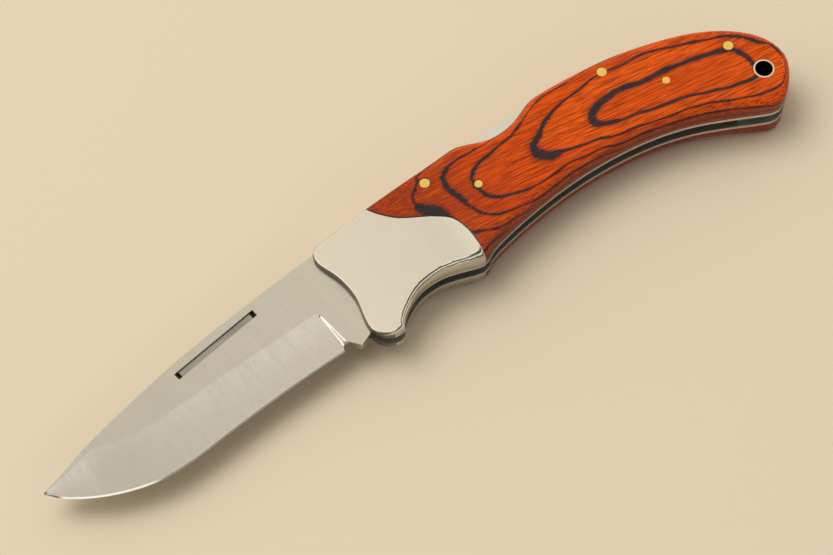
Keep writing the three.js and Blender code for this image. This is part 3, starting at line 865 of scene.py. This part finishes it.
    @staticmethod
    def _measured(scale: Workpiece, side: Side) -> tuple[np.ndarray, np.ndarray]:
        """Measure a wood scale's points.

        Args:
            scale: The scale.
            side: Which side of the handle it is on.

        Returns:
            Their x and y, and how far each lies below the flat of the sanded face.
        """
        places = np.array([from_pivot(vertex.co) for vertex in scale.obj.data.vertices])
        height = places[:, 2] if side is Side.FRONT else FRONT_FACE - places[:, 2]
        return places[:, :2], np.array([TAPER.eased(x) for x in places[:, 0]]) - height

    @staticmethod
    def _bend(apart: np.ndarray) -> np.ndarray:
        """Bending curve of a thin sheet around one point, by distance."""
        safe = np.maximum(apart, 1e-9)
        return safe * safe * np.log(safe)

    def at(self, places: np.ndarray) -> np.ndarray:
        """Height at each place, in sheets."""
        bent = self._bend(distances(places, self.points)) @ self.weights[:-3]
        return bent + (self.weights[-3] + places @ self.weights[-2:])

    def rise(self, places: np.ndarray, step: Point) -> np.ndarray:
        """How fast the sheets rise along a step at each place, in sheets a millimetre."""
        return (self.at(places + step) - self.at(places - step)) / (2 * np.hypot(*step))

    def write(self, scale: Workpiece, side: Side) -> None:
        """Store the sheet height, its glue line's reach and the depth below the face on a scale's points.

        Args:
            scale: A finished wood scale.
            side: Which side of the handle it is on.
        """
        flat, depth = self._measured(scale, side)
        depth = np.clip(depth, 0.0, None)
        flat = flat + self.FRONT_SHIFT if side is Side.FRONT else flat * self.REAR_STRETCH + self.REAR_SHIFT
        wall = np.clip(depth / 1.2 - 0.3, 0.0, 1.0)
        steep = np.hypot(self.rise(flat, (self.PROBE, 0.0)), self.rise(flat, (0.0, self.PROBE)))
        steep = steep * (1 - wall) + wall / self.THICKNESS
        width = self.GLUE_SPREAD * nearby(distances(flat, self.glue[:, :2]), self.GLUE_BLUR, self.glue[:, 2])
        stores = {
            self.SHEET: self.at(flat) - depth / self.THICKNESS,
            self.REACH: width * steep,
            self.DEPTH: depth,
            self.RISE: np.abs(self.rise(flat, self.FIBRE_STEP)),
        }
        for name, values in stores.items():
            attribute = scale.obj.data.attributes.new(name, "FLOAT", "POINT")
            attribute.data.foreach_set("value", values.astype(np.float32))


@dataclass
class SubAssembly:
    """A group of pieces that is modelled after the frame's nodes."""

    nodes: dict[str, Object]

    def copy(self, node: str, name: str) -> Workpiece:
        """Copy one of the frame's nodes to the bench."""
        return Workpiece.copy_of(self.nodes[node], name)


@dataclass
class BladeMaker(SubAssembly):
    """The blade: a ground loft ahead of the tang, with its choil and nail nick."""

    reach: float = 90.0
    ricasso: float = 18.0
    seam: float = -8.2
    tip_height: float = 0.3
    tip_rise: float = 0.7
    tip_half: float = 0.2
    edge_half: float = 0.04
    edge_slope: float = 0.26
    tip_keenness: float = 0.06
    edge_bevel: float = 0.5
    hollow: float = 0.13
    plunge_top: float = 17.3
    plunge_slant: float = 0.118
    plunge_run: float = 0.9
    plunge_least: float = 0.6
    nick_length: float = 23.0
    nick_width: float = 1.75
    nick_depth: float = 0.5
    pocket_length: float = 1.1
    pocket_depth: float = 0.95
    nick_tilt: float = math.radians(7.0)
    nick_corner: float = 0.15
    pocket_inset: float = 0.06
    pocket_narrower: float = 0.12
    square_break: float = 0.12
    thin_from: float = 0.84
    keen_from: float = 0.6
    nick_middle: Point = (-40.3, 7.6)
    row_shares: tuple[float, ...] = (0.9, 0.8, 0.68, 0.55, 0.42, 0.3, 0.18, 0.08)
    kick: tuple[Point, ...] = ((-17.6, -10.6), (-14.0, -11.95), (-12.5, -11.4), (-10.5, -10.6), (-6.5, -9.2))

    def __post_init__(self) -> None:
        """Draw the blade's three lines."""
        self.top_face = MID_PLANE + BLADE_THICKNESS / 2
        self.over, self.up = math.cos(self.nick_tilt), math.sin(self.nick_tilt)
        self.spine = self._line(
            ((0, 13.4), (-8, 13.15)),
            (
                (0.03, 12.35), (0.22, 11.2), (0.42, 9.65), (0.61, 7.35), (0.78, 4.85), (0.92, 2.2),
                (1.0, self.tip_rise + self.tip_height / 2),
            ),
        )
        self.edge = self._line(
            ((-12, -10.6),),
            (
                (0.0, -10.55), (0.15, -10.6), (0.3, -10.95), (0.45, -11.6), (0.58, -12.25), (0.68, -11.9),
                (0.78, -10.0), (0.88, -6.7), (0.96, -2.7), (1.0, self.tip_rise - self.tip_height / 2),
            ),
        )
        self.grind = self._line(
            ((-12, 0.7),),
            ((0.15, 0.6), (0.45, 0.45), (0.6, 0.1), (0.7, 0.95), (0.78, 2.6), (self.thin_from, 3.9)),
        )

    def _ahead(self, share: float) -> float:
        """Place along the blade, from 0 at the ricasso to 1 at the tip."""
        return -self.ricasso - (self.reach - self.ricasso) * share

    def _line(self, behind: Sequence[Point], ahead: Sequence[Point]) -> np.ndarray:
        """Draw a line through heights at places behind the ricasso and at shares of the blade ahead of it."""
        return smooth_line([*behind, *((self._ahead(share), y) for share, y in ahead)])

    def _past_plunge(self, x: float, y: float) -> float:
        """How far a place lies ahead of the slanting line where the grinding starts."""
        return -self.plunge_top - y * self.plunge_slant - x

    def _past(self, x: float, share: float) -> float:
        """How far a place lies between a share of the blade, where it is 0, and the tip."""
        start = self._ahead(share)
        return unit((start - x) / (start + self.reach))

    @staticmethod
    def _height(line: np.ndarray, x: float) -> float:
        """Height of a line that runs towards the tip."""
        return float(np.interp(x, line[::-1, 0], line[::-1, 1]))

    def _bottom(self, x: float) -> float:
        """Lower edge of the blade, with the kick behind the choil."""
        ahead = x <= self.kick[0][0]
        return self._height(self.edge, x) if ahead else float(np.interp(x, *zip(*self.kick)))

    def _rows(self, x: float) -> list[Point]:
        """Heights and half thicknesses down one side at a place along the blade.

        Args:
            x: The place, in millimetres from the pivot.

        Returns:
            Pairs of height and half thickness, from the back to the edge.
        """
        half = BLADE_THICKNESS / 2
        top, bottom = self._height(self.spine, x), self._bottom(x)
        height = top - bottom
        grind = min(self._height(self.grind, x), top - height * 0.1)
        shoulder = bottom + min(self.edge_bevel, height * 0.2)
        full = half + (self.tip_half - half) * self._past(x, self.thin_from)
        slope = self.edge_slope - self.tip_keenness * self._past(x, self.keen_from)
        thin = min(self.edge_half + slope * (shoulder - bottom), full * 0.6)
        ledge = min(0.15, (top - grind) * 0.2)
        rows = [(top, full), (top - ledge, full), (grind + ledge, full), (grind, full)]
        for u in (1 - min(0.03, ledge), *self.row_shares, 0.0):
            hollow = self.hollow * 4 * u * (1 - u) * (full / half)
            rows.append((shoulder + (grind - shoulder) * u, thin + (full - thin) * u - hollow))
        rows.append((shoulder - (shoulder - bottom) * 0.15, thin - (thin - self.edge_half) * 0.15))
        rows.append((bottom, self.edge_half))
        finished = []
        for y, thick in rows:
            run = unit(self._past_plunge(x, y) / max(self.plunge_run * (full - thick), self.plunge_least))
            ground = 0.7 * run + 0.3 * run * run * (3 - 2 * run)
            finished.append((y, full - (full - thick) * ground))
        return finished

    def _stations(self) -> list[float]:
        """Place the sections, from the tip to the seam under the bolster.

        Returns:
            Where they meet the blade's middle line.
        """
        stations = [-self.reach]
        for end, step in ((-86.0, 0.5), (-19.4, 1.0), (-18.0, 0.12), (-17.2, 0.06), (self.seam, 0.85)):
            pieces = round((end - stations[-1]) / step)
            stations += list(np.linspace(stations[-1], end, pieces + 1)[1:])
        return stations

    def _section(self, station: float) -> list[Place]:
        """One section of the loft, leaning with the plunge line where that is near.

        Args:
            station: Where the section meets the blade's middle line.

        Returns:
            Rows of x, height and half thickness, from the back to the edge.
        """
        lean = self.plunge_slant * float(np.interp(station, (-30, -20, -16.5, -12), (0, 1, 1, 0)))
        section = []
        for row in range(len(self._rows(station))):
            x = station
            for _ in range(3):
                y, half = self._rows(x)[row]
                x = station - lean * y
            section.append((x, y, half))
        return section

    def _loft(self) -> Workpiece:
        """Model the ground part: a grid laid on one side's sections, closed to the middle and mirrored.

        Returns:
            The closed loft.
        """
        sections = [self._section(x) for x in self._stations()]
        along, down = len(sections) - 1, len(sections[0]) - 1
        bpy.ops.mesh.primitive_grid_add(x_subdivisions=along, y_subdivisions=down, size=1.0)
        piece = Workpiece.added("ground_blade")
        for vertex in piece.obj.data.vertices:
            column = round((vertex.co.x + 0.5) * along)
            row = round((0.5 - vertex.co.y) * down)
            x, y, half = sections[column][row]
            vertex.co = place(x, y, MID_PLANE + half)
        middle = place(0, 0, MID_PLANE)
        with piece.editing(Pick.EDGES, lambda edge: edge.is_boundary):
            bpy.ops.mesh.extrude_region_move()
            bpy.ops.transform.resize(value=(1, 1, 0), center_override=middle)
            bpy.ops.mesh.select_all(action="SELECT")
            bpy.ops.mesh.duplicate()
            bpy.ops.transform.resize(value=(1, 1, -1), center_override=middle)
            bpy.ops.mesh.select_all(action="SELECT")
            bpy.ops.mesh.remove_doubles(threshold=0.001 * MM)
            bpy.ops.mesh.normals_make_consistent(inside=False)
        return piece

    def _tang(self) -> Workpiece:
        """Take the tang, with its lock notch and pivot hole, from the frame's blade.

        Returns:
            The tang.
        """
        piece = self.copy("blade", "tang")
        seam = place(self.seam, 0, 0)
        with piece.editing(Pick.FACES):
            bpy.ops.mesh.bisect(plane_co=seam, plane_no=(1, 0, 0), use_fill=True, clear_inner=True)
        return piece

    def _nick_cutter(self, start: float, end: float, depth: float, narrower: float = 0.0) -> Workpiece:
        """A bar for cutting one stretch of the nail nick.

        Args:
            start: Where the stretch starts, along the nick from its middle.
            end: Where it ends.
            depth: How deep it goes.
            narrower: How much narrower it is than the nick.

        Returns:
            The cutter.
        """
        bpy.ops.mesh.primitive_cube_add(size=1.0)
        piece = Workpiece.added("nick_cutter")
        for vertex in piece.obj.data.vertices:
            along = end if vertex.co.x > 0 else start
            across = vertex.co.y * (self.nick_width - narrower)
            height = self.top_face + 0.4 if vertex.co.z > 0 else self.top_face - depth
            vertex.co = place(*self._along_nick(along, across), height)
        with piece.editing(Pick.EDGES, lambda edge: height_of(edge) > 0.3):
            bpy.ops.mesh.bevel(offset=self.nick_corner * MM, segments=3, affect="EDGES")
        return piece

    def _along_nick(self, along: float, across: float) -> Point:
        """Turn a place along and across the nail nick into x and y."""
        x, y = self.nick_middle
        return x + along * self.over - across * self.up, y + along * self.up + across * self.over

    def _from_nick(self, face: MeshPolygon) -> Place:
        """Measure where a face lies from the middle of the nail nick.

        Args:
            face: The face.

        Returns:
            How far along and across the nick, and how deep.
        """
        x, y, z = from_pivot(face.center)
        x, y = x - self.nick_middle[0], y - self.nick_middle[1]
        return x * self.over + y * self.up, y * self.over - x * self.up, self.top_face - z

    def _is_nick(self, face: MeshPolygon) -> bool:
        """Tell whether a face lies inside the nail nick.

        Args:
            face: The face.

        Returns:
            Whether it does.
        """
        along, across, depth = self._from_nick(face)
        within = abs(along) < self.nick_length / 2 + 0.05 and abs(across) < self.nick_width / 2 + 0.05
        return within and 0.01 <= depth <= BLADE_THICKNESS / 2

    def _is_pocket(self, face: MeshPolygon) -> bool:
        """Tell whether a face lies inside one of the nail nick's end pockets.

        Args:
            face: The face.

        Returns:
            Whether it does.
        """
        along, across, depth = self._from_nick(face)
        away = math.hypot(abs(along) - (self.nick_length - self.pocket_length) / 2, across)
        return away < self.nick_width and self.nick_depth + 0.02 <= depth <= BLADE_THICKNESS / 2 + 0.5

    def _is_plunge(self, face: MeshPolygon) -> bool:
        """Whether a face lies on the short slope where the grinding starts."""
        near = -0.1 < self._past_plunge(*from_pivot(face.center)[:2]) < 2.0
        return near and face.normal.x < -0.2 and abs(face.normal.z) > 0.15

    def _is_edge(self, face: MeshPolygon) -> bool:
        """Whether a face lies on the narrow bevel that is sharpened last."""
        x, y, _ = from_pivot(face.center)
        return x < -self.plunge_top - 0.6 and y < self._bottom(x) + self.edge_bevel

    @staticmethod
    def _choil_cutter() -> Workpiece:
        """Model a plate with a rounded head, for cutting the choil, from a disc with its rim drawn out.

        Returns:
            The cutter.
        """
        head = ((-17.65, -10.4), (-17.45, -9.6), (-16.8, -9.15), (-16.0, -9.4), (-15.4, -10.1))
        rim = [(-17.65, -14.0), (-13.9, -14.0), (-13.9, -12.05), *smooth_line(head, 0.2)[::-1]]
        bpy.ops.mesh.primitive_circle_add(vertices=len(rim), radius=MM, fill_type="NGON")
        piece = Workpiece.added("choil_cutter")
        for vertex, (x, y) in zip(piece.obj.data.vertices, rim):
            vertex.co = place(x, y, SLOT_FLOOR - 1)
        with piece.editing(Pick.FACES):
            bpy.ops.mesh.normals_make_consistent(inside=False)
            rise = (0, 0, (SLOT_WIDTH + 2) * MM)
            bpy.ops.mesh.extrude_region_move(TRANSFORM_OT_translate={"value": rise})
            bpy.ops.mesh.select_all(action="SELECT")
            bpy.ops.mesh.normals_make_consistent(inside=False)
        return piece

    @staticmethod
    def _is_square(edge: BMEdge) -> bool:
        """Whether an edge is one of the square ones along the back, the choil and the tang."""
        sharp = len(edge.link_faces) == 2 and edge.calc_face_angle(0.0) >= math.radians(60)
        return sharp and all(abs(vertex.co.z - MID_PLANE * MM) > 0.6 * MM for vertex in edge.verts)

    def build(self) -> None:
        """Model and seat the blade."""
        blade = self._loft()
        blade.combine(self._tang(), "UNION")
        blade.combine(self._choil_cutter(), "DIFFERENCE")
        with blade.editing(Pick.EDGES, self._is_square):
            bpy.ops.mesh.bevel(offset=self.square_break * MM, segments=2, affect="EDGES", clamp_overlap=True)
        half = self.nick_length / 2
        blade.combine(self._nick_cutter(-half, half, self.nick_depth), "DIFFERENCE")
        for side in (-1, 1):
            ends = sorted((side * (half - self.pocket_inset), side * (half - self.pocket_length)))
            blade.combine(self._nick_cutter(*ends, self.pocket_depth, self.pocket_narrower), "DIFFERENCE")
        blade.rename("blade_ground_and_satin")
        blade.finish(Slot.BLADE, Look.BLADE, "blade", Body.BLADE, 24.0)
        # The plunge and the edge bevel take the brighter steel, which paints their white highlight.
        blade.dress_faces(Look.FRESH_AND_HIGHLIT, lambda face: self._is_plunge(face) or self._is_edge(face))
        # The nick takes darker steel: its milled finish, with painted shade in the recess.
        blade.dress_faces(Look.MILLED_AND_SHADED, self._is_nick)
        # Painted shade in the nick's end pockets.
        blade.dress_faces(Look.SHADED_HOLLOW, self._is_pocket)


@dataclass
class HandleSides(SubAssembly):
    """Bolsters, wood scales and liners, modelled on the front and mirrored to the rear."""

    joint_break: float = 0.18
    rim_break: float = 0.12
    liner_break: float = 0.08
    grid: float = 1.2
    support: float = 0.35

    def build(self) -> None:
        """Model and seat both sides."""
        front = self._bolster()
        rear = front.opposite("rear_bolster_shell")
        for bolster, side in ((front, Side.FRONT), (rear, Side.REAR)):
            bolster.finish(Slot.BOLSTER, Look.BOLSTER, f"{side.value}_bolster", angle=35.0)
            # Painted shade on the belly walls.
            bolster.dress_faces(Look.SIDE, lambda face: face.normal.y < -0.2 and abs(face.normal.z) < 0.5)
            # Painted shade on the walls that face the blade, and on those that face the wood.
            bolster.dress_faces(Look.CORNER, lambda face: face.normal.x < -0.45 and abs(face.normal.z) < 0.5)
            bolster.dress_faces(Look.CORNER, lambda face: face.normal.x > 0.15 and face.normal.y > -0.1)
        front = self._scale()
        rear = front.opposite("rear_wood_scale")
        veneers = VeneerField(front)
        for scale, side in ((front, Side.FRONT), (rear, Side.REAR)):
            veneers.write(scale, side)
            scale.finish(Slot.WOOD, Look.WOOD, f"{side.value}_scale", angle=35.0)
            # Painted shade in the narrow groove beside the bolster.
            scale.dress_faces(Look.CORNER, self._is_joint)
        for side in Side:
            node = f"{side.value}_liner"
            liner = self.copy(node, f"{node}_plate")
            liner.bevel_sharp(self.liner_break)
            liner.finish(Slot.LINER, Look.LINER, node)
            # Painted shade on the liners' broad faces, so that the slot looks dark.
            liner.dress_faces(Look.SHADED_LINER, lambda face: abs(face.normal.z) > 0.95)
            # Painted shade on the liners' faces that look ahead beside the blade's root.
            liner.dress_faces(Look.CORNER, self._is_liner_front)

    def _bolster(self) -> Workpiece:
        """Model the front bolster, with its broad face framed so that it stays flat under smooth shading.

        Returns:
            The bolster.
        """
        piece = self.copy("front_bolster", "front_bolster_shell")
        piece.bevel_sharp(self.rim_break, 2, 50.0, clamp=False)
        with piece.editing(Pick.FACES, self._is_broad):
            bpy.ops.mesh.inset(thickness=self.support * MM, use_boundary=True)
        cuts = np.arange(TAPER.start - TAPER.ease, TAPER.start + TAPER.ease + 0.01, TAPER.strip)
        piece.slice((1, 0, 0), cuts, FRONT_LINER_TOP)
        piece.reshape(TAPER.moved)
        return piece

    def _scale(self) -> Workpiece:
        """Model the front wood scale, with a face dense enough to carry the veneers.

        Returns:
            The scale.
        """
        piece = self.copy("front_scale", "front_wood_scale")
        with piece.editing(Pick.EDGES, self._is_joint_edge):
            bpy.ops.mesh.bevel(offset=self.joint_break * MM, segments=1, affect="EDGES", clamp_overlap=False)
        low, high = (from_pivot(corner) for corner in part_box("front_scale"))
        for axis, way in enumerate(((1, 0, 0), (0, 1, 0))):
            cuts = np.arange(low[axis] + self.grid, high[axis], self.grid)
            piece.slice(way, cuts, FRONT_LINER_TOP + 0.01)
        piece.reshape(TAPER.moved)
        return piece

    @staticmethod
    def _is_broad(face: BMFace) -> bool:
        """Whether a face is part of the handle's broad front face."""
        return face.normal.z > 0.98 and face.calc_center_median().z > (FRONT_LINER_TOP + 0.5) * MM

    @staticmethod
    def _is_joint_edge(edge: BMEdge) -> bool:
        """Tell whether an edge of the wood's face runs beside the bolster.

        Args:
            edge: The edge.

        Returns:
            Whether it does.
        """
        if len(edge.link_faces) != 2:
            return False
        wall, broad = sorted(edge.link_faces, key=lambda face: face.normal.z)
        x, _, z = from_pivot((edge.verts[0].co + edge.verts[1].co) / 2)
        steep = abs(wall.normal.z) < 0.3 and wall.normal.x < -0.2
        return steep and broad.normal.z > 0.7 and x < 32.0 and z > FRONT_LINER_TOP + 1.0

    @staticmethod
    def _is_joint(face: MeshPolygon) -> bool:
        """Whether a wood face lies in the narrow groove beside the bolster."""
        return face.normal.x < -0.25 and from_pivot(face.center)[0] < 30.0

    @staticmethod
    def _is_liner_front(face: MeshPolygon) -> bool:
        """Whether a liner's face looks ahead, beside the blade's root."""
        return face.normal.x < -0.45 and from_pivot(face.center)[0] < 15.0


@dataclass
class BackWork(SubAssembly):
    """The lock bar along the back, its spring and the spacer at the butt."""

    lock_break: float = 0.22
    spacer_break: float = 0.1

    def build(self) -> None:
        """Model and seat them."""
        bar = self.copy("lock_bar", "lock_bar_polished")
        bar.bevel_sharp(self.lock_break, 3)
        bar.finish(Slot.LOCK, Look.LOCK, "lock_bar", Body.LOCK_BAR)
        rest = (("back_spacer", "ground", Slot.SPACER), ("lock_spring", "leaf", Slot.SPRING))
        for node, kind, slot in rest:
            piece = self.copy(node, f"{node}_{kind}")
            piece.bevel_sharp(self.spacer_break)
            # The spacer and the spring take the darker steel, a painted shade for the recess.
            piece.finish(slot, Look.DULL_AND_SHADED, node)


@dataclass
class Fastenings(SubAssembly):
    """Pins, rivets and the lanyard tube, turned from round bar where the frame has them."""

    pin_sides: int = 48
    head_round: float = 0.1
    crown: float = 0.012
    crown_steps: Point = (0.6, 0.4)
    crown_ring: float = 0.3
    tube_sides: int = 64
    tube_wall: float = 0.5
    tube_lip: float = 0.1
    through: tuple[str, ...] = ("lock_bar_pin", "spacer_pin_mid", "spacer_pin_butt")

    def build(self) -> None:
        """Model and seat them, and dress the hidden ones in place."""
        rivets = [f"{side.value}_scale_rivet_{spot}" for spot in ("forward", "rear") for side in Side]
        for node in (*self.through, *rivets):
            self._pin(node).finish(Slot.BRASS, Look.BRASS, node)
        self._tube()
        for name, node in self.nodes.items():
            if not node.hide_render:
                node.data.materials.clear()
                node.data.materials.append(material_of(Look.BRASS if "washer" in name else Look.PIN))
                log.info("%s: the frame's own solid, dressed", name)

    @staticmethod
    def _bar(node: str, name: str, sides: int, low: float, high: float) -> tuple[Workpiece, float]:
        """Cut a length of round bar on the axis of one of the frame's round nodes.

        Args:
            node: Name of the frame's node.
            name: Name of the new piece.
            sides: Faces round it.
            low: Height of its lower end.
            high: Height of its upper end.

        Returns:
            The bar and its radius, in millimetres.
        """
        (x0, y0, _), (x1, y1, _) = (from_pivot(corner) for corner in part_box(node))
        radius = (x1 - x0) / 2
        middle = place((x0 + x1) / 2, (y0 + y1) / 2, (low + high) / 2)
        size = {"radius": radius * MM, "depth": (high - low) * MM}
        bpy.ops.mesh.primitive_cylinder_add(vertices=sides, **size, location=middle)
        bar = Workpiece.added(name)
        bpy.ops.object.transform_apply(location=True, rotation=True, scale=True)
        return bar, radius

    @staticmethod
    def _is_end(face: BMFace, height: float, way: int) -> bool:
        """Whether a face is the flat end at a height of an upright bar, turned up (1) or down (-1)."""
        return face.normal.z * way > 0.99 and abs(face.calc_center_median().z - height * MM) < 0.01 * MM

    def _pin(self, node: str) -> Workpiece:
        """Model a round pin whose outer ends are dressed flush, with a broken rim and a slight crown.

        Args:
            node: Name of the frame's pin.

        Returns:
            The pin.
        """
        (x, _, low), (_, _, high) = (from_pivot(corner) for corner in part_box(node))
        face = TAPER.eased(x)
        high = face if high > MID_PLANE else SLOT_FLOOR
        low = FRONT_FACE - face if low < 0.01 else low
        pin, radius = self._bar(node, f"{node}_brass", self.pin_sides, low, high)
        with pin.editing(Pick.EDGES, lambda edge: height_of(edge) < 0.01):
            bpy.ops.mesh.bevel(offset=self.head_round * MM, segments=3, affect="EDGES")
        for end, way in ((high, 1), (low, -1)):
            with pin.editing(Pick.FACES, lambda face: self._is_end(face, end, way)):
                for share in self.crown_steps:
                    bpy.ops.mesh.inset(thickness=radius * self.crown_ring * MM)
                    bpy.ops.transform.translate(value=(0, 0, way * self.crown * share * MM))
        return pin

    def _tube(self) -> None:
        """Model the lanyard tube, with its bore, its rounded lips and an inside painted near-black as shade.
        """
        node = "lanyard_tube"
        tube, radius = self._bar(node, f"{node}_rolled", self.tube_sides, 0.0, FRONT_FACE)
        with tube.editing(Pick.FACES, lambda face: abs(face.normal.z) > 0.99):
            bpy.ops.mesh.inset(thickness=self.tube_wall * MM)
            bpy.ops.mesh.bridge_edge_loops()
        tube.bevel_sharp(self.tube_lip, 4, 60.0)
        tube.finish(Slot.BRASS, Look.PALE_BRASS, node)
        low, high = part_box(node)
        axis = (low + high) / 2
        inside = (radius - self.tube_wall * 0.8) * MM
        # Painted shade inside the bore.
        tube.dress_faces(Look.SHADED_HOLLOW, lambda face: (face.center - axis).xy.length < inside)


@dataclass(frozen=True)
class Viewpoint:
    """The photograph's camera, in millimetres from the frame's origin."""

    name: str = "photo_camera"
    position: Place = (-158.3, -187.5, 458.3)
    target: Place = (-44.1, -5.05, 7.0)
    roll: float = -4.0
    lens: float = 95.08
    sensor: float = 36.0

    def build(self) -> None:
        """Make the camera."""
        data = bpy.data.cameras.new(self.name)
        data.lens = self.lens
        data.sensor_width = self.sensor
        data.clip_start = 0.01
        camera = bpy.data.objects.new(self.name, data)
        bpy.context.scene.collection.objects.link(camera)
        start, end = Vector(self.position) * MM, Vector(self.target) * MM
        turn = (end - start).to_track_quat("-Z", "Y")
        camera.rotation_mode = "QUATERNION"
        camera.rotation_quaternion = turn @ Quaternion((0, 0, 1), math.radians(self.roll))
        camera.location = start
        bpy.context.scene.camera = camera


@dataclass(frozen=True)
class Glow:
    """A soft round area of the sky, with its direction, its two radii in degrees and its colour."""

    direction: Place
    inner: float
    outer: float
    colour: Colour


@dataclass(frozen=True)
class Studio:
    """A pale floor under a soft sky, with a dark card round the camera and a low strip window.

    Its one lamp only fills: the metal mirrors the sky and never the lamp.
    """

    floor_colour: Colour = (0.80, 0.69, 0.53)
    floor_size: float = 6.0
    back_sky: Colour = (0.80, 0.75, 0.66)
    front_sky: Colour = (0.10, 0.095, 0.085)
    ground: Colour = (0.40, 0.34, 0.26)
    backdrop: Colour = (0.86, 0.80, 0.70)
    dark: Colour = (0.10, 0.10, 0.10)
    bright: Colour = (1.25, 1.22, 1.16)
    glows: tuple[Glow, ...] = (
        Glow((0.20, 0.38, 0.903), 14.0, 34.0, (0.90, 0.84, 0.74)),
        Glow((0.065, 0.39, 0.919), 2.5, 7.0, (0.76, 0.72, 0.65)),
        Glow((0.15, 0.04, 0.988), 2.0, 10.0, (1.10, 1.05, 0.96)),
        Glow((0.03, 0.19, 0.981), 3.0, 8.0, (0.70, 0.67, 0.61)),
        Glow((-0.2285, -0.3649, 0.9026), 9.0, 18.0, dark),
        Glow((-0.17, -0.02, 0.985), 9.0, 12.0, (1.1, 1.07, 1.02)),
        Glow((-0.47, 0.06, 0.88), 7.0, 12.0, dark),
        Glow((-0.78, -0.20, 0.59), 14.0, 22.0, dark),
        Glow((-0.68, 0.24, 0.69), 12.0, 18.0, bright),
        Glow((-0.92, 0.20, 0.30), 12.0, 18.0, bright),
    )
    horizon: Point = (-0.01, 0.01)
    back_edge: Point = (-0.3, 0.45)
    window: Colour = (0.86, 0.83, 0.77)
    window_side: Place = (0.6, -0.8, 0.0)
    window_end: Point = (0.15, 0.3)
    window_foot: Point = (0.34, 0.38)
    window_head: Point = (0.76, 0.62)
    lamp_name: str = "window_light"
    lamp_place: Place = (-0.36, 0.72, 1.42)
    lamp_size: float = 1.0
    lamp_power: float = 12.0
    lamp_colour: Colour = (1.0, 0.96, 0.90)

    def build(self) -> None:
        """Lay the floor, light the sky and hang the lamp."""
        bpy.ops.mesh.primitive_plane_add(size=self.floor_size, location=(0, 0, -0.1 * MM))
        floor = bpy.context.active_object
        floor.name = "pale_floor"
        material, wiring = new_material("pale_board")
        wiring.surface({"Base Color": self.floor_colour, "Roughness": 0.85, "Specular IOR Level": 0.2})
        floor.data.materials.append(material)
        self._sky()
        self._lamp()
        bpy.context.scene.view_settings.view_transform = "Standard"

    def _lamp(self) -> None:
        """Hang one large soft lamp that faces the knife."""
        data = bpy.data.lights.new(self.lamp_name, "AREA")
        data.shape = "SQUARE"
        data.size = self.lamp_size
        data.energy = self.lamp_power
        data.color = self.lamp_colour
        lamp = bpy.data.objects.new(self.lamp_name, data)
        lamp.visible_glossy = False
        bpy.context.scene.collection.objects.link(lamp)
        lamp.location = self.lamp_place
        lamp.rotation_mode = "QUATERNION"
        lamp.rotation_quaternion = (-Vector(self.lamp_place)).to_track_quat("-Z", "Y")

    def _sky(self) -> None:
        """Light a sky that is brighter behind the knife, with its glows and one low window in front."""
        world = bpy.data.worlds.new("studio_sky")
        world.use_nodes = True
        bpy.context.scene.world = world
        wiring = Wiring(world.node_tree)
        where = wiring.where("Generated")
        _, back, up = wiring.split(where)
        sky = wiring.mix(wiring.ramp(back, *self.back_edge), self.front_sky, self.back_sky)
        for glow in self.glows:
            rim, core = (math.cos(math.radians(angle)) for angle in (glow.outer, glow.inner))
            within = wiring.ramp(wiring.turned_to(where, glow.direction), rim, core)
            sky = wiring.mix(within, sky, glow.colour)
        level = wiring.times(wiring.ramp(up, *self.window_foot), wiring.ramp(up, *self.window_head))
        pane = wiring.times(level, wiring.ramp(wiring.turned_to(where, self.window_side), *self.window_end))
        sky = wiring.mix(pane, sky, self.window)
        sky = wiring.mix(wiring.ramp(up, *self.horizon), self.ground, sky)
        seen = wiring.add("ShaderNodeLightPath").outputs["Is Camera Ray"]
        sky = wiring.mix(seen, sky, self.backdrop)
        shader = wiring.add("ShaderNodeBackground", {"Color": sky, "Strength": 1.0})
        wiring.add("ShaderNodeOutputWorld", {"Surface": shader.outputs[0]})


def main() -> None:
    """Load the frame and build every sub-assembly in order."""
    logging.basicConfig(level=logging.INFO, format="%(name)s %(message)s")
    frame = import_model()
    Viewpoint().build()
    Studio().build()
    for maker in (BladeMaker, HandleSides, BackWork, Fastenings):
        maker(frame["nodes"]).build()


if __name__ == "__main__":
    main()
